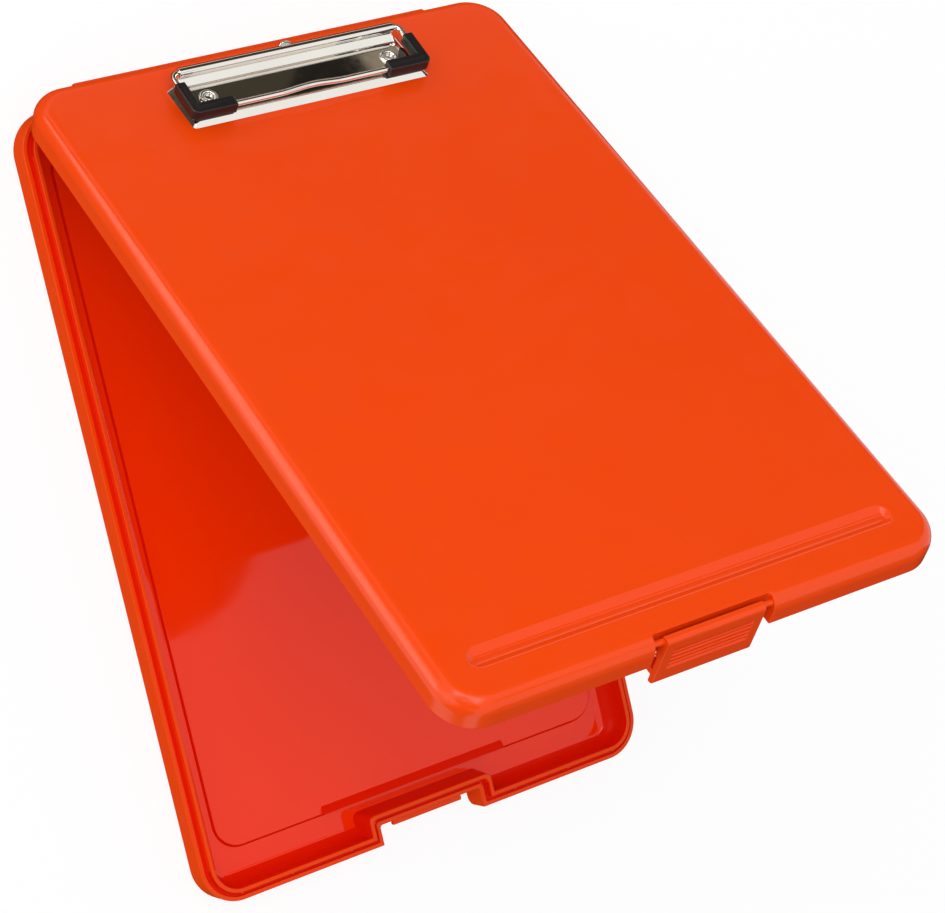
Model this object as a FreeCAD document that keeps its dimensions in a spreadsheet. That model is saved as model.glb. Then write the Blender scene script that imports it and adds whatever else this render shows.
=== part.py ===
import FreeCAD, Part
import math
import os
from types import SimpleNamespace

import Sketcher

# Storage clipboard box
#
# A shallow moulded tray for loose sheets, closed by a hinged lid that is also a writing board.
# The lid carries a wire clip near its rear edge, a pen groove near its front edge and a swinging
# latch in a notch of its front skirt.
#
# Frame: the tray lies flat on z = 0 with its centre at the origin. X runs along the hinge, the
# hinge is at +Y, the latch end is at -Y. The lid and what it carries are drawn closed and then
# turned about the hinge by the opening angle of the rest pose.

SIZES = (
    # Outline shared by the tray and the lid
    ("box_width", 240.0),
    ("box_length", 360.0),
    ("corner_radius", 18.0),
    ("open_angle", 44.0),
    # Tray shell
    ("tray_height", 14.0),
    ("tray_base_round", 4.0),
    ("tray_floor", 2.2),
    ("floor_cove", 8.5),
    # Rim of the tray: outer lip, groove and inner tongue
    ("lip_width", 2.0),
    ("rim_groove_width", 2.0),
    ("rim_groove_depth", 1.2),
    ("tongue_width", 2.0),
    ("tongue_rise", 2.5),
    ("tick_width", 1.2),
    ("tick_depth", 0.8),
    # Notch in the tray's front wall
    ("tray_notch_side_gap", 3.75),
    ("tray_notch_depth", 9.5),
    ("tray_notch_round", 2.0),
    ("catch_end_inset", 5.0),
    ("catch_reach", 3.2),
    ("catch_bottom", 7.9),
    ("catch_height", 2.2),
    # Raised floor panel and paper stop
    ("panel_rise", 1.6),
    ("panel_side_margin", 20.0),
    ("panel_front_margin", 28.0),
    ("panel_rear_margin", 20.0),
    ("panel_corner", 12.0),
    ("panel_bevel", 1.2),
    ("stop_length", 100.0),
    ("stop_width", 4.0),
    ("stop_rise", 1.4),
    # Lid shell
    ("lid_gap", 0.3),
    ("lid_height", 13.7),
    ("lid_round", 7.0),
    ("lid_plate", 2.4),
    ("skirt_wall", 2.6),
    ("skirt_inner_bevel", 3.4),
    # Pen groove
    ("groove_side_margin", 17.0),
    ("groove_width", 11.0),
    ("groove_depth", 2.2),
    ("groove_bevel", 1.8),
    ("groove_from_front", 21.5),
    ("groove_wall", 2.0),
    # Notch in the lid's front skirt
    ("lid_notch_side_gap", 5.0),
    ("lid_notch_depth", 5.6),
    ("lid_notch_round", 1.5),
    ("housing_clearance", 0.4),
    ("housing_depth", 12.0),
    # Hinge
    ("hinge_offset", 4.6),
    ("hinge_rise", 1.0),
    ("barrel_radius", 4.0),
    ("hinge_length", 180.0),
    ("tray_knuckle", 40.0),
    ("knuckle_gap", 0.4),
    ("web_gap", 0.3),
    ("web_thickness", 2.6),
    ("pin_radius", 1.3),
    ("running_clearance", 0.09),
    # Latch
    ("latch_width", 48.0),
    ("latch_thickness", 4.4),
    ("latch_grip_thickness", 3.0),
    ("latch_top_gap", 1.0),
    ("latch_bottom", 0.8),
    ("latch_shoulder", 14.6),
    ("latch_top_round", 2.5),
    ("latch_rear_round", 1.8),
    ("latch_foot_round", 2.4),
    ("hook_reach", 8.0),
    ("hook_bottom", 4.6),
    ("hook_gap", 0.4),
    ("hook_round", 1.8),
    ("stub_radius", 1.35),
    ("stub_seat", 1.4),
    ("stub_end_gap", 0.3),
    ("stub_below_top", 3.8),
    ("stub_from_front", 3.2),
    ("recess_end_margin", 4.5),
    ("recess_bottom", 9.4),
    ("recess_height", 11.0),
    ("recess_depth", 0.9),
    ("recess_corner", 1.2),
    ("rib_width", 0.9),
    ("rib_height", 0.7),
    ("rib_pitch", 2.4),
    # Clip base plate
    ("plate_width", 120.0),
    ("plate_front_from_rear", 45.0),
    ("plate_rear_from_rear", 20.0),
    ("plate_rise", 2.6),
    ("plate_slope", 3.4),
    ("sheet", 0.9),
    ("cove_from_rear", 24.5),
    ("roll_from_rear", 17.5),
    ("roll_rise", 7.2),
    ("roll_end_inset", 5.5),
    ("tab_width", 6.6),
    ("tab_rise", 1.3),
    # Wire bail and its grips
    ("wire_radius", 1.35),
    ("bail_side_inset", 2.0),
    ("bail_reach", 23.5),
    ("bail_bend", 2.4),
    ("bail_tail_gap", 12.0),
    ("grip_side", 2.3),
    ("grip_front", 2.9),
    ("grip_height", 5.4),
    ("grip_front_leg", 19.0),
    ("grip_rear_gap", 3.2),
    ("grip_corner", 3.0),
    ("grip_edge", 1.0),
    ("grip_rest_gap", 0.3),
    ("grip_fit", 0.09),
    # Rivets
    ("rivet_end_inset", 14.0),
    ("rivet_from_rear", 31.0),
    ("rivet_head_radius", 4.2),
    ("rivet_head_height", 1.2),
    ("rivet_dish", 0.5),
    ("rivet_shank_radius", 2.4),
    ("rivet_bore_radius", 1.6),
    ("rivet_hole_clearance", 0.2),
    ("rivet_clinch_radius", 3.8),
    ("rivet_clinch_height", 1.0),
    # Overrun of cuts past the faces they leave through
    ("overrun", 5.0),
)


class Size:
    """A length together with the sheet formula that drives it."""

    def __init__(self, value, text):
        self.value = value
        self.text = text

    @staticmethod
    def of(other):
        if isinstance(other, Size):
            return other
        return Size(float(other), repr(float(other)))

    def __add__(self, other):
        other = Size.of(other)
        return Size(self.value + other.value, "(%s + %s)" % (self.text, other.text))

    def __sub__(self, other):
        other = Size.of(other)
        return Size(self.value - other.value, "(%s - %s)" % (self.text, other.text))

    def __mul__(self, other):
        other = Size.of(other)
        return Size(self.value * other.value, "(%s * %s)" % (self.text, other.text))

    def __truediv__(self, other):
        other = Size.of(other)
        return Size(self.value / other.value, "(%s / %s)" % (self.text, other.text))

    def __neg__(self):
        return Size(-self.value, "(-1 * %s)" % self.text)


doc = FreeCAD.newDocument("StorageClipboardBox")
sheet = doc.addObject("Spreadsheet::Sheet", "Sizes")
for row, (name, value) in enumerate(SIZES, start=1):
    sheet.set("A%d" % row, name)
    sheet.set("B%d" % row, str(value))
    sheet.setAlias("B%d" % row, name)
doc.recompute()

s = SimpleNamespace(**{name: Size(value, "Sizes." + name) for name, value in SIZES})
NONE = Size(0.0, "0")
START, END, CENTRE = range(1, 4)
X_AXIS, Y_AXIS = range(-1, -3, -1)


def new_body(label):
    body = doc.addObject("PartDesign::Body", label)
    body.Label = label
    return body


def new_sketch(body, name, role, offset=None):
    """A sketch on one of the body's own planes, moved along its normal."""
    sketch = body.newObject("Sketcher::SketchObject", name)
    plane = [f for f in body.Origin.OriginFeatures if f.Role == role][0]
    sketch.AttachmentSupport = (plane, [""])
    sketch.MapMode = "FlatFace"
    if offset is not None:
        start = FreeCAD.Vector(0, 0, offset.value)
        sketch.AttachmentOffset = FreeCAD.Placement(start, FreeCAD.Rotation())
        sketch.setExpression(".AttachmentOffset.Base.z", offset.text)
    return sketch


def constrain(sketch, rules):
    """Add constraints, and bind those that carry a size to the sheet."""
    first = sketch.ConstraintCount
    sketch.addConstraint([Sketcher.Constraint(*rule) for rule, size in rules])
    for index, (rule, size) in enumerate(rules, start=first):
        if size is not None:
            sketch.setExpression("Constraints[%d]" % index, size.text)


def place(kind, geometry, point, size):
    """The rule that keeps one coordinate of a point at a size from the origin."""
    if size.text == NONE.text:
        axis = Y_AXIS if kind == "DistanceX" else X_AXIS
        return (("PointOnObject", geometry, point, axis), None)
    if size.value < 0:
        return ((kind, geometry, point, X_AXIS, START, -size.value), -size)
    return ((kind, X_AXIS, START, geometry, point, size.value), size)


def outline(sketch, edges, corners):
    """A closed outline of level and upright edges; corner k follows edge k."""
    count = len(edges)
    tips = []
    for k in range(count):
        this, after = edges[k], edges[(k + 1) % count]
        x = this[1] if this[0] == "v" else after[1]
        y = this[1] if this[0] == "h" else after[1]
        tips.append(FreeCAD.Vector(x.value, y.value, 0))
    ways = []
    for k in range(count):
        way = tips[k] - tips[k - 1]
        ways.append(way.normalize())
    base = sketch.GeometryCount
    lines = []
    for k in range(count):
        back = corners[k - 1].value
        ahead = corners[k].value
        lines.append(Part.LineSegment(tips[k - 1] + ways[k] * back, tips[k] - ways[k] * ahead))
    sketch.addGeometry(lines, False)
    rules = []
    for k in range(count):
        kind, size = edges[k]
        if kind == "h":
            rules.append((("Horizontal", base + k), None))
            rules.append(place("DistanceY", base + k, START, size))
        else:
            rules.append((("Vertical", base + k), None))
            rules.append(place("DistanceX", base + k, START, size))
    for k in range(count):
        radius = corners[k]
        after = (k + 1) % count
        if radius.value <= 0:
            rules.append((("Coincident", base + k, END, base + after, START), None))
            continue
        enter = tips[k] - ways[k] * radius.value
        leave = tips[k] + ways[after] * radius.value
        centre = enter + ways[after] * radius.value
        left = ways[k].x * ways[after].y - ways[k].y * ways[after].x > 0
        first, last = (enter, leave) if left else (leave, enter)
        low = math.atan2(first.y - centre.y, first.x - centre.x)
        high = math.atan2(last.y - centre.y, last.x - centre.x)
        if high < low:
            high += 2 * math.pi
        circle = Part.Circle(centre, FreeCAD.Vector(0, 0, 1), radius.value)
        arc = sketch.addGeometry(Part.ArcOfCircle(circle, low, high), False)
        enters, leaves = (START, END) if left else (END, START)
        rules.append((("Tangent", base + k, END, arc, enters), None))
        rules.append((("Tangent", arc, leaves, base + after, START), None))
        rules.append((("Radius", arc, radius.value), radius))
    constrain(sketch, rules)


def rectangle(sketch, left, right, low, high, corner=NONE):
    edges = [("h", low), ("v", right), ("h", high), ("v", left)]
    outline(sketch, edges, [corner] * 4)


def circle(sketch, x, y, radius):
    centre = FreeCAD.Vector(x.value, y.value, 0)
    shape = Part.Circle(centre, FreeCAD.Vector(0, 0, 1), radius.value)
    index = sketch.addGeometry(shape, False)
    rules = [(("Radius", index, radius.value), radius)]
    rules.append(place("DistanceX", index, CENTRE, x))
    rules.append(place("DistanceY", index, CENTRE, y))
    constrain(sketch, rules)


def solid_of(body):
    doc.recompute()
    return body.Shape.Volume


def pad(body, sketch, length, symmetric=False, reverse=False):
    feature = body.newObject("PartDesign::Pad", sketch.Name + "Pad")
    feature.Profile = sketch
    feature.setExpression("Length", length.text)
    if symmetric:
        feature.SideType = "Symmetric"
    feature.Reversed = reverse
    sketch.Visibility = False
    return feature


def pocket(body, sketch, length, symmetric=False, reverse=False):
    """A cut that has to take material away, so its volume is compared."""
    before = solid_of(body)
    feature = body.newObject("PartDesign::Pocket", sketch.Name + "Pocket")
    feature.Profile = sketch
    feature.setExpression("Length", length.text)
    if symmetric:
        feature.SideType = "Symmetric"
    feature.Reversed = reverse
    sketch.Visibility = False
    if solid_of(body) >= before:
        raise RuntimeError("nothing was cut by " + feature.Name)
    return feature


def edge_names(body, name, chosen):
    doc.recompute()
    edges = body.Tip.Shape.Edges
    names = ["Edge%d" % k for k, edge in enumerate(edges, start=1) if chosen(edge)]
    if not names:
        raise RuntimeError("no edge found for " + name)
    return names


def fillet(body, name, radius, chosen):
    """Round the edges that the test picks from the body's present shape."""
    names = edge_names(body, name, chosen)
    tip = body.Tip
    feature = body.newObject("PartDesign::Fillet", name)
    feature.Base = (tip, names)
    feature.setExpression("Radius", radius.text)
    return feature


def chamfer(body, name, size, chosen):
    """Bevel the edges that the test picks from the body's present shape."""
    names = edge_names(body, name, chosen)
    tip = body.Tip
    feature = body.newObject("PartDesign::Chamfer", name)
    feature.Base = (tip, names)
    feature.setExpression("Size", size.text)
    return feature


def level(edge, z, near=0.01):
    box = edge.BoundBox
    return abs(box.ZMin - z.value) < near and abs(box.ZMax - z.value) < near


# Shared widths and places
tray_notch_width = s.latch_width + s.tray_notch_side_gap * 2
lid_notch_width = s.latch_width + s.lid_notch_side_gap * 2
catch_length = s.latch_width - s.catch_end_inset * 2
recess_width = s.latch_width - s.recess_end_margin * 2
groove_length = s.box_width - s.groove_side_margin * 2
lid_knuckle = s.hinge_length - s.tray_knuckle * 2
roll_length = s.plate_width - s.roll_end_inset * 2
bail_width = s.plate_width - s.bail_side_inset * 2
rivet_spacing = s.plate_width - s.rivet_end_inset * 2
half_width = s.box_width / 2
half_length = s.box_length / 2
front = -half_length
tongue_inset = s.lip_width + s.rim_groove_width
cavity_inset = tongue_inset + s.tongue_width
tongue_top = s.tray_height + s.tongue_rise
lid_bottom = s.tray_height + s.lid_gap
lid_top = lid_bottom + s.lid_height
lid_inner_top = lid_top - s.lid_plate
hinge_y = half_length + s.hinge_offset
hinge_z = s.tray_height + s.hinge_rise


def rim_outline(sketch, inset):
    """The box outline moved inward, with the step round the front notch."""
    side = half_width - inset
    end = half_length - inset
    step = tray_notch_width / 2 + inset
    back = front + s.tray_notch_depth + inset
    edges = [("h", -end), ("v", -step), ("h", back), ("v", step), ("h", -end), ("v", side)]
    edges += [("h", end), ("v", -side)]
    outer = s.corner_radius - inset
    inner = s.tray_notch_round + inset
    outline(sketch, edges, [NONE, inner, inner, NONE, outer, outer, outer, outer])


def knuckles(body, name, starts, length, gap_bottom, gap_top, inside):
    """Hinge barrels along X with a web back to the wall that carries them."""
    for index, start in enumerate(starts):
        ring = new_sketch(body, "%sBarrel%d" % (name, index), "YZ_Plane", start)
        circle(ring, hinge_y, hinge_z, s.barrel_radius)
        pad(body, ring, length)
        web = new_sketch(body, "%sWeb%d" % (name, index), "YZ_Plane", start)
        rectangle(web, half_length - inside, hinge_y, gap_bottom, gap_top)
        pad(body, web, length)


# Tray: block with a rounded base, then its cavity with a cove
tray = new_body("tray")
shell = new_sketch(tray, "TrayOutline", "XY_Plane")
rectangle(shell, -half_width, half_width, -half_length, half_length, s.corner_radius)
pad(tray, shell, s.tray_height)
fillet(tray, "TrayBaseRound", s.tray_base_round, lambda edge: level(edge, NONE))
cavity = new_sketch(tray, "TrayCavity", "XY_Plane", s.tray_height)
rectangle(
    cavity, cavity_inset - half_width, half_width - cavity_inset, cavity_inset - half_length,
    half_length - cavity_inset, s.corner_radius - cavity_inset)
pocket(tray, cavity, s.tray_height - s.tray_floor)
fillet(tray, "FloorCove", s.floor_cove, lambda edge: level(edge, s.tray_floor))

# The wall steps inward behind the notch that is cut into it
notch_half = tray_notch_width / 2
notch_face = front + s.tray_notch_depth
step = new_sketch(tray, "NotchStep", "XY_Plane", s.tray_floor / 2)
step_half = notch_half + cavity_inset
rectangle(
    step, -step_half, step_half, front + s.lip_width, notch_face + cavity_inset,
    s.tray_notch_round)
pad(tray, step, s.tray_height - s.tray_floor / 2)
gap = new_sketch(tray, "TrayNotch", "XY_Plane", s.tray_height)
rectangle(gap, -notch_half, notch_half, front - s.overrun, notch_face, s.tray_notch_round)
pocket(tray, gap, s.tray_height + s.overrun)

# Rim: groove behind the lip and the tongue that the lid drops over
groove = new_sketch(tray, "RimGroove", "XY_Plane", s.tray_height)
rim_outline(groove, s.lip_width)
rim_outline(groove, tongue_inset)
pocket(tray, groove, s.rim_groove_depth)
tongue = new_sketch(tray, "RimTongue", "XY_Plane", s.tray_height - s.rim_groove_depth)
rim_outline(tongue, tongue_inset)
rim_outline(tongue, cavity_inset)
pad(tray, tongue, s.rim_groove_depth + s.tongue_rise)

# Small upright ticks on the tongue's front face
ticks = new_sketch(tray, "TongueTicks", "XY_Plane", s.tray_height - s.rim_groove_depth)
tick_place_shares = (-0.86, -0.64, -0.38, 0.38, 0.64, 0.86)
for share in tick_place_shares:
    centre_x = half_width * share
    rectangle(
        ticks, centre_x - s.tick_width / 2, centre_x + s.tick_width / 2,
        front + tongue_inset - s.tick_depth, front + tongue_inset + s.tick_depth)
pad(tray, ticks, s.rim_groove_depth + s.tongue_rise / 2)

# Raised floor panel and the low paper stop along its front edge
panel = new_sketch(tray, "FloorPanel", "XY_Plane")
rectangle(
    panel, s.panel_side_margin - half_width, half_width - s.panel_side_margin,
    s.panel_front_margin - half_length, half_length - s.panel_rear_margin, s.panel_corner)
pad(tray, panel, s.tray_floor + s.panel_rise)
chamfer(tray, "PanelBevel", s.panel_bevel, lambda edge: level(edge, s.tray_floor + s.panel_rise))
stop = new_sketch(tray, "PaperStop", "XY_Plane")
stop_front = front + s.panel_front_margin
rectangle(
    stop, -(s.stop_length / 2), s.stop_length / 2, stop_front, stop_front + s.stop_width)
pad(tray, stop, s.tray_floor + s.panel_rise + s.stop_rise)

# Catch bar in the notch, which the latch hooks under
catch = new_sketch(tray, "CatchBar", "YZ_Plane")
rectangle(
    catch, notch_face - s.catch_reach, notch_face + s.lip_width, s.catch_bottom,
    s.catch_bottom + s.catch_height)
pad(tray, catch, catch_length, symmetric=True)

# Tray knuckles, bored for the pin
tray_starts = [-(s.hinge_length / 2), s.hinge_length / 2 - s.tray_knuckle]
web_top = s.tray_height - s.web_gap / 2
knuckles(tray, "Tray", tray_starts, s.tray_knuckle, web_top - s.web_thickness, web_top, s.lip_width)
bore = new_sketch(tray, "TrayBore", "YZ_Plane")
circle(bore, hinge_y, hinge_z, s.pin_radius + s.running_clearance)
pocket(tray, bore, s.hinge_length + s.overrun, symmetric=True)

# Hinge pin
hinge_pin = new_body("hinge_pin")
pin = new_sketch(hinge_pin, "PinRound", "YZ_Plane")
circle(pin, hinge_y, hinge_z, s.pin_radius)
pad(hinge_pin, pin, s.hinge_length, symmetric=True)

# Lid: skirt and top with a large rounded edge, hollow below
lid = new_body("lid")
cover = new_sketch(lid, "LidOutline", "XY_Plane", lid_bottom)
rectangle(cover, -half_width, half_width, -half_length, half_length, s.corner_radius)
pad(lid, cover, s.lid_height)
fillet(lid, "LidRound", s.lid_round, lambda edge: level(edge, lid_top))
hollow = new_sketch(lid, "LidHollow", "XY_Plane", lid_bottom)
rectangle(
    hollow, s.skirt_wall - half_width, half_width - s.skirt_wall, s.skirt_wall - half_length,
    half_length - s.skirt_wall, s.corner_radius - s.skirt_wall)
pocket(lid, hollow, s.lid_height - s.lid_plate, reverse=True)
chamfer(lid, "LidInnerBevel", s.skirt_inner_bevel, lambda edge: level(edge, lid_inner_top))

# Housing behind the latch, then the notch in the front skirt
housing = new_sketch(lid, "LatchHousing", "XY_Plane", lid_bottom)
housing_half = tray_notch_width / 2 + tongue_inset - s.housing_clearance
housing_round = s.tray_notch_round + tongue_inset
outline(
    housing,
    [
        ("h", front + s.skirt_wall - s.lid_gap), ("v", housing_half),
        ("h", front + s.housing_depth), ("v", -housing_half),
    ],
    [NONE, housing_round, housing_round, NONE])
pad(lid, housing, s.lid_height - s.lid_plate + s.lid_gap)
notch = new_sketch(lid, "LidNotch", "XY_Plane", lid_bottom - s.overrun)
rectangle(
    notch, -(lid_notch_width / 2), lid_notch_width / 2, front - s.overrun,
    front + s.lid_notch_depth, s.lid_notch_round)
pocket(lid, notch, s.lid_height + s.overrun * 2, reverse=True)

# Pen groove, with the wall that follows it below the plate
groove_y = front + s.groove_from_front
groove_end_share = 0.48
below = new_sketch(lid, "GrooveWall", "XY_Plane", lid_top - s.groove_depth - s.groove_wall)
rectangle(
    below, -(groove_length / 2 + s.groove_wall), groove_length / 2 + s.groove_wall,
    groove_y - s.groove_width / 2 - s.groove_wall, groove_y + s.groove_width / 2 + s.groove_wall,
    s.groove_width * groove_end_share + s.groove_wall)
pad(lid, below, s.groove_wall)
pen = new_sketch(lid, "PenGroove", "XY_Plane", lid_top)
rectangle(
    pen, -(groove_length / 2), groove_length / 2, groove_y - s.groove_width / 2,
    groove_y + s.groove_width / 2, s.groove_width * groove_end_share)
pocket(lid, pen, s.groove_depth)
chamfer(lid, "GrooveBevel", s.groove_bevel, lambda edge: level(edge, lid_top - s.groove_depth))

# Rivet holes and the seats of the latch stubs
rivet_y = half_length - s.rivet_from_rear
holes = new_sketch(lid, "RivetHoles", "XY_Plane", lid_top)
for centre_x in (-(rivet_spacing / 2), rivet_spacing / 2):
    circle(holes, centre_x, rivet_y, s.rivet_shank_radius + s.rivet_hole_clearance)
pocket(lid, holes, s.lid_plate + s.overrun)
latch_top = lid_top - s.latch_top_gap
stub_y = front + s.stub_from_front
stub_z = lid_top - s.stub_below_top
seats = new_sketch(lid, "StubSeats", "YZ_Plane")
circle(seats, stub_y, stub_z, s.stub_radius + s.running_clearance)
seat_span = lid_notch_width + s.stub_seat * 2 + s.stub_end_gap * 2
pocket(lid, seats, seat_span, symmetric=True)

# One long lid knuckle between those of the tray
lid_starts = [s.tray_knuckle - s.hinge_length / 2 + s.knuckle_gap]
web_low = hinge_z + s.web_gap
knuckles(
    lid, "Lid", lid_starts, lid_knuckle - s.knuckle_gap * 2, web_low, web_low + s.web_thickness,
    s.skirt_wall / 2)
eye = new_sketch(lid, "LidBore", "YZ_Plane")
circle(eye, hinge_y, hinge_z, s.pin_radius + s.running_clearance)
pocket(lid, eye, s.hinge_length + s.overrun, symmetric=True)

# Latch: a hanging plate with an inward hook, turning on two moulded stubs
latch = new_body("latch")
side = new_sketch(latch, "LatchSide", "YZ_Plane")
hook_top = s.catch_bottom - s.hook_gap
outline(
    side,
    [
        ("h", s.latch_bottom), ("v", front + s.latch_grip_thickness), ("h", s.hook_bottom),
        ("v", front + s.hook_reach), ("h", hook_top), ("v", front + s.latch_grip_thickness),
        ("h", s.latch_shoulder), ("v", front + s.latch_thickness), ("h", latch_top), ("v", front),
    ],
    [
        NONE, NONE, s.hook_round, NONE, NONE, NONE, NONE, s.latch_rear_round, s.latch_top_round,
        s.latch_foot_round,
    ])
pad(latch, side, s.latch_width, symmetric=True)
face = new_sketch(latch, "LatchRecess", "XZ_Plane", half_length)
recess_low = s.recess_bottom
rectangle(
    face, -(recess_width / 2), recess_width / 2, recess_low, recess_low + s.recess_height,
    s.recess_corner)
pocket(latch, face, s.recess_depth)
ribs = new_sketch(latch, "LatchRibs", "XZ_Plane", half_length - s.recess_depth)
rib_middle = recess_low + s.recess_height / 2
rib_shares = (-1.5, -0.5, 0.5, 1.5)
for share in rib_shares:
    rib_low = rib_middle + s.rib_pitch * share - s.rib_width / 2
    rectangle(ribs, -(recess_width / 2), recess_width / 2, rib_low, rib_low + s.rib_width)
pad(latch, ribs, s.rib_height)
stubs = new_sketch(latch, "LatchStubs", "YZ_Plane")
circle(stubs, stub_y, stub_z, s.stub_radius)
pad(latch, stubs, lid_notch_width + s.stub_seat * 2, symmetric=True)

# Clip base plate: a pressed pan whose rear rises in a cove to a rolled barrel
clip_plate = new_body("clip_plate")
plate_half = s.plate_width / 2
plate_front = half_length - s.plate_front_from_rear
plate_rear = half_length - s.plate_rear_from_rear
plate_top = lid_top + s.plate_rise


def pan(body, name, cut, inset, low, high):
    """A four-sided pan whose sides lean in, from the outline at low to that at high."""
    foot = new_sketch(body, name + "Foot", "XY_Plane", low)
    lean = s.plate_slope
    rectangle(
        foot, inset - plate_half, plate_half - inset, plate_front + inset, plate_rear - inset)
    crown = new_sketch(body, name + "Crown", "XY_Plane", high)
    rectangle(
        crown, inset + lean - plate_half, plate_half - inset - lean, plate_front + inset + lean,
        plate_rear - inset)
    kind = "PartDesign::SubtractiveLoft" if cut else "PartDesign::AdditiveLoft"
    before = solid_of(body) if cut else 0
    feature = body.newObject(kind, name + "Loft")
    feature.Profile = foot
    feature.Sections = [crown]
    feature.Ruled = True
    foot.Visibility = False
    crown.Visibility = False
    if cut and solid_of(body) >= before:
        raise RuntimeError("nothing was cut by " + feature.Name)
    return feature


pan(clip_plate, "PanOuter", False, NONE, lid_top, plate_top)
pan(clip_plate, "PanInner", True, s.sheet, lid_top, plate_top - s.sheet)

roll_y = half_length - s.roll_from_rear
roll_z = lid_top + s.roll_rise
roll_bore = s.wire_radius + s.running_clearance
roll_outer = roll_bore + s.sheet
roll_mid = roll_bore + s.sheet / 2
cove_y = half_length - s.cove_from_rear
cove_low = plate_top - s.sheet / 2
across = roll_y - cove_y
up = roll_z - cove_low
cove_radius = (across * across + up * up - roll_mid * roll_mid) / ((up - roll_mid) * 2)
cove_z = cove_low + cove_radius
reach = cove_radius - roll_mid
turn_y = across / reach
turn_z = (up - cove_radius) / reach
curl_edge_share = -0.44


def rolled_sheet(sketch):
    """Side view of the cove that rises from the pan and curls forward into an open roll."""
    inner = cove_radius - s.sheet / 2
    outer = cove_radius + s.sheet / 2
    axis = FreeCAD.Vector(0, 0, 1)
    middle = FreeCAD.Vector(cove_y.value, cove_z.value, 0)
    centre = FreeCAD.Vector(roll_y.value, roll_z.value, 0)
    low = -math.pi / 2
    meet = math.atan2(turn_z.value, turn_y.value)
    free = 2 * math.pi - math.acos(curl_edge_share)

    def at(origin, radius, angle):
        return origin + FreeCAD.Vector(math.cos(angle), math.sin(angle), 0) * radius.value

    shapes = [
        Part.ArcOfCircle(Part.Circle(middle, axis, outer.value), low, meet),
        Part.ArcOfCircle(Part.Circle(centre, axis, roll_outer.value), meet, free),
        Part.LineSegment(at(centre, roll_outer, free), at(centre, roll_bore, free)),
        Part.ArcOfCircle(Part.Circle(centre, axis, roll_bore.value), meet, free),
        Part.ArcOfCircle(Part.Circle(middle, axis, inner.value), low, meet),
        Part.LineSegment(at(middle, inner, low), at(middle, outer, low)),
    ]
    sketch.addGeometry(shapes, False)
    rules = []
    for arc, y, z, radius in (
            (0, cove_y, cove_z, outer), (1, roll_y, roll_z, roll_outer),
            (3, roll_y, roll_z, roll_bore), (4, cove_y, cove_z, inner)):
        rules.append(place("DistanceX", arc, CENTRE, y))
        rules.append(place("DistanceY", arc, CENTRE, z))
        rules.append((("Radius", arc, radius.value), radius))
    rules.append(place("DistanceX", 0, START, cove_y))
    rules.append(place("DistanceX", 4, START, cove_y))
    rules.append(place("DistanceX", 0, END, cove_y + turn_y * outer))
    rules.append(place("DistanceX", 4, END, cove_y + turn_y * inner))
    rules.append(place("DistanceX", 1, START, roll_y + turn_y * roll_outer))
    rules.append(place("DistanceX", 3, START, roll_y + turn_y * roll_bore))
    rules.append(place("DistanceX", 1, END, roll_y + roll_outer * curl_edge_share))
    rules.append(place("DistanceX", 3, END, roll_y + roll_bore * curl_edge_share))
    rules.append((("Coincident", 2, START, 1, END), None))
    rules.append((("Coincident", 2, END, 3, END), None))
    rules.append((("Coincident", 5, START, 4, START), None))
    rules.append((("Coincident", 5, END, 0, START), None))
    constrain(sketch, rules)


relief = new_sketch(clip_plate, "CoveRelief", "XY_Plane", plate_top)
relief_half = roll_length / 2 + s.sheet
rectangle(relief, -relief_half, relief_half, cove_y, plate_rear + s.overrun)
pocket(clip_plate, relief, s.plate_rise + s.overrun)
rolled = new_sketch(clip_plate, "RolledSheet", "YZ_Plane")
rolled_sheet(rolled)
pad(clip_plate, rolled, roll_length, symmetric=True)
plate_holes = new_sketch(clip_plate, "PlateHoles", "XY_Plane", plate_top)
for centre_x in (-(rivet_spacing / 2), rivet_spacing / 2):
    circle(plate_holes, centre_x, rivet_y, s.rivet_shank_radius + s.rivet_hole_clearance)
pocket(clip_plate, plate_holes, s.plate_rise)

# Half-round lug that stands behind the middle of the roll
tab = new_sketch(clip_plate, "Lug", "XZ_Plane", -(roll_y + roll_mid))
tab_half = s.tab_width / 2
tab_round_share = 0.45
tab_top = roll_z + roll_outer + s.tab_rise
tab_edges = [("h", roll_z - s.sheet), ("v", tab_half), ("h", tab_top), ("v", -tab_half)]
tab_round = s.tab_width * tab_round_share
outline(tab, tab_edges, [NONE, tab_round, tab_round, NONE])
pad(clip_plate, tab, s.sheet, reverse=True)


def rivet(label, centre_x):
    """A tubular rivet: dished head, shank through plate and lid, and its clinched end."""
    body = new_body(label)
    low = lid_inner_top - s.rivet_clinch_height
    clinch = new_sketch(body, label + "Clinch", "XY_Plane", low)
    circle(clinch, centre_x, rivet_y, s.rivet_clinch_radius)
    pad(body, clinch, s.rivet_clinch_height)
    shank = new_sketch(body, label + "Shank", "XY_Plane", low)
    circle(shank, centre_x, rivet_y, s.rivet_shank_radius)
    pad(body, shank, plate_top - low)
    head = new_sketch(body, label + "Head", "XY_Plane", plate_top)
    circle(head, centre_x, rivet_y, s.rivet_head_radius)
    pad(body, head, s.rivet_head_height)
    top = plate_top + s.rivet_head_height
    dish = new_sketch(body, label + "Dish", "XY_Plane", top)
    circle(dish, centre_x, rivet_y, (s.rivet_head_radius + s.rivet_shank_radius) / 2)
    pocket(body, dish, s.rivet_dish)
    hole = new_sketch(body, label + "Bore", "XY_Plane", top)
    circle(hole, centre_x, rivet_y, s.rivet_bore_radius)
    pocket(body, hole, top - low + s.overrun)
    return body


rivet_left = rivet("rivet_left", -(rivet_spacing / 2))
rivet_right = rivet("rivet_right", rivet_spacing / 2)

# Wire bail, drawn flat in its own plane with the roll's axis as X, then tilted into place
leg_x = bail_width / 2
bar_y = -s.bail_reach


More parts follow.
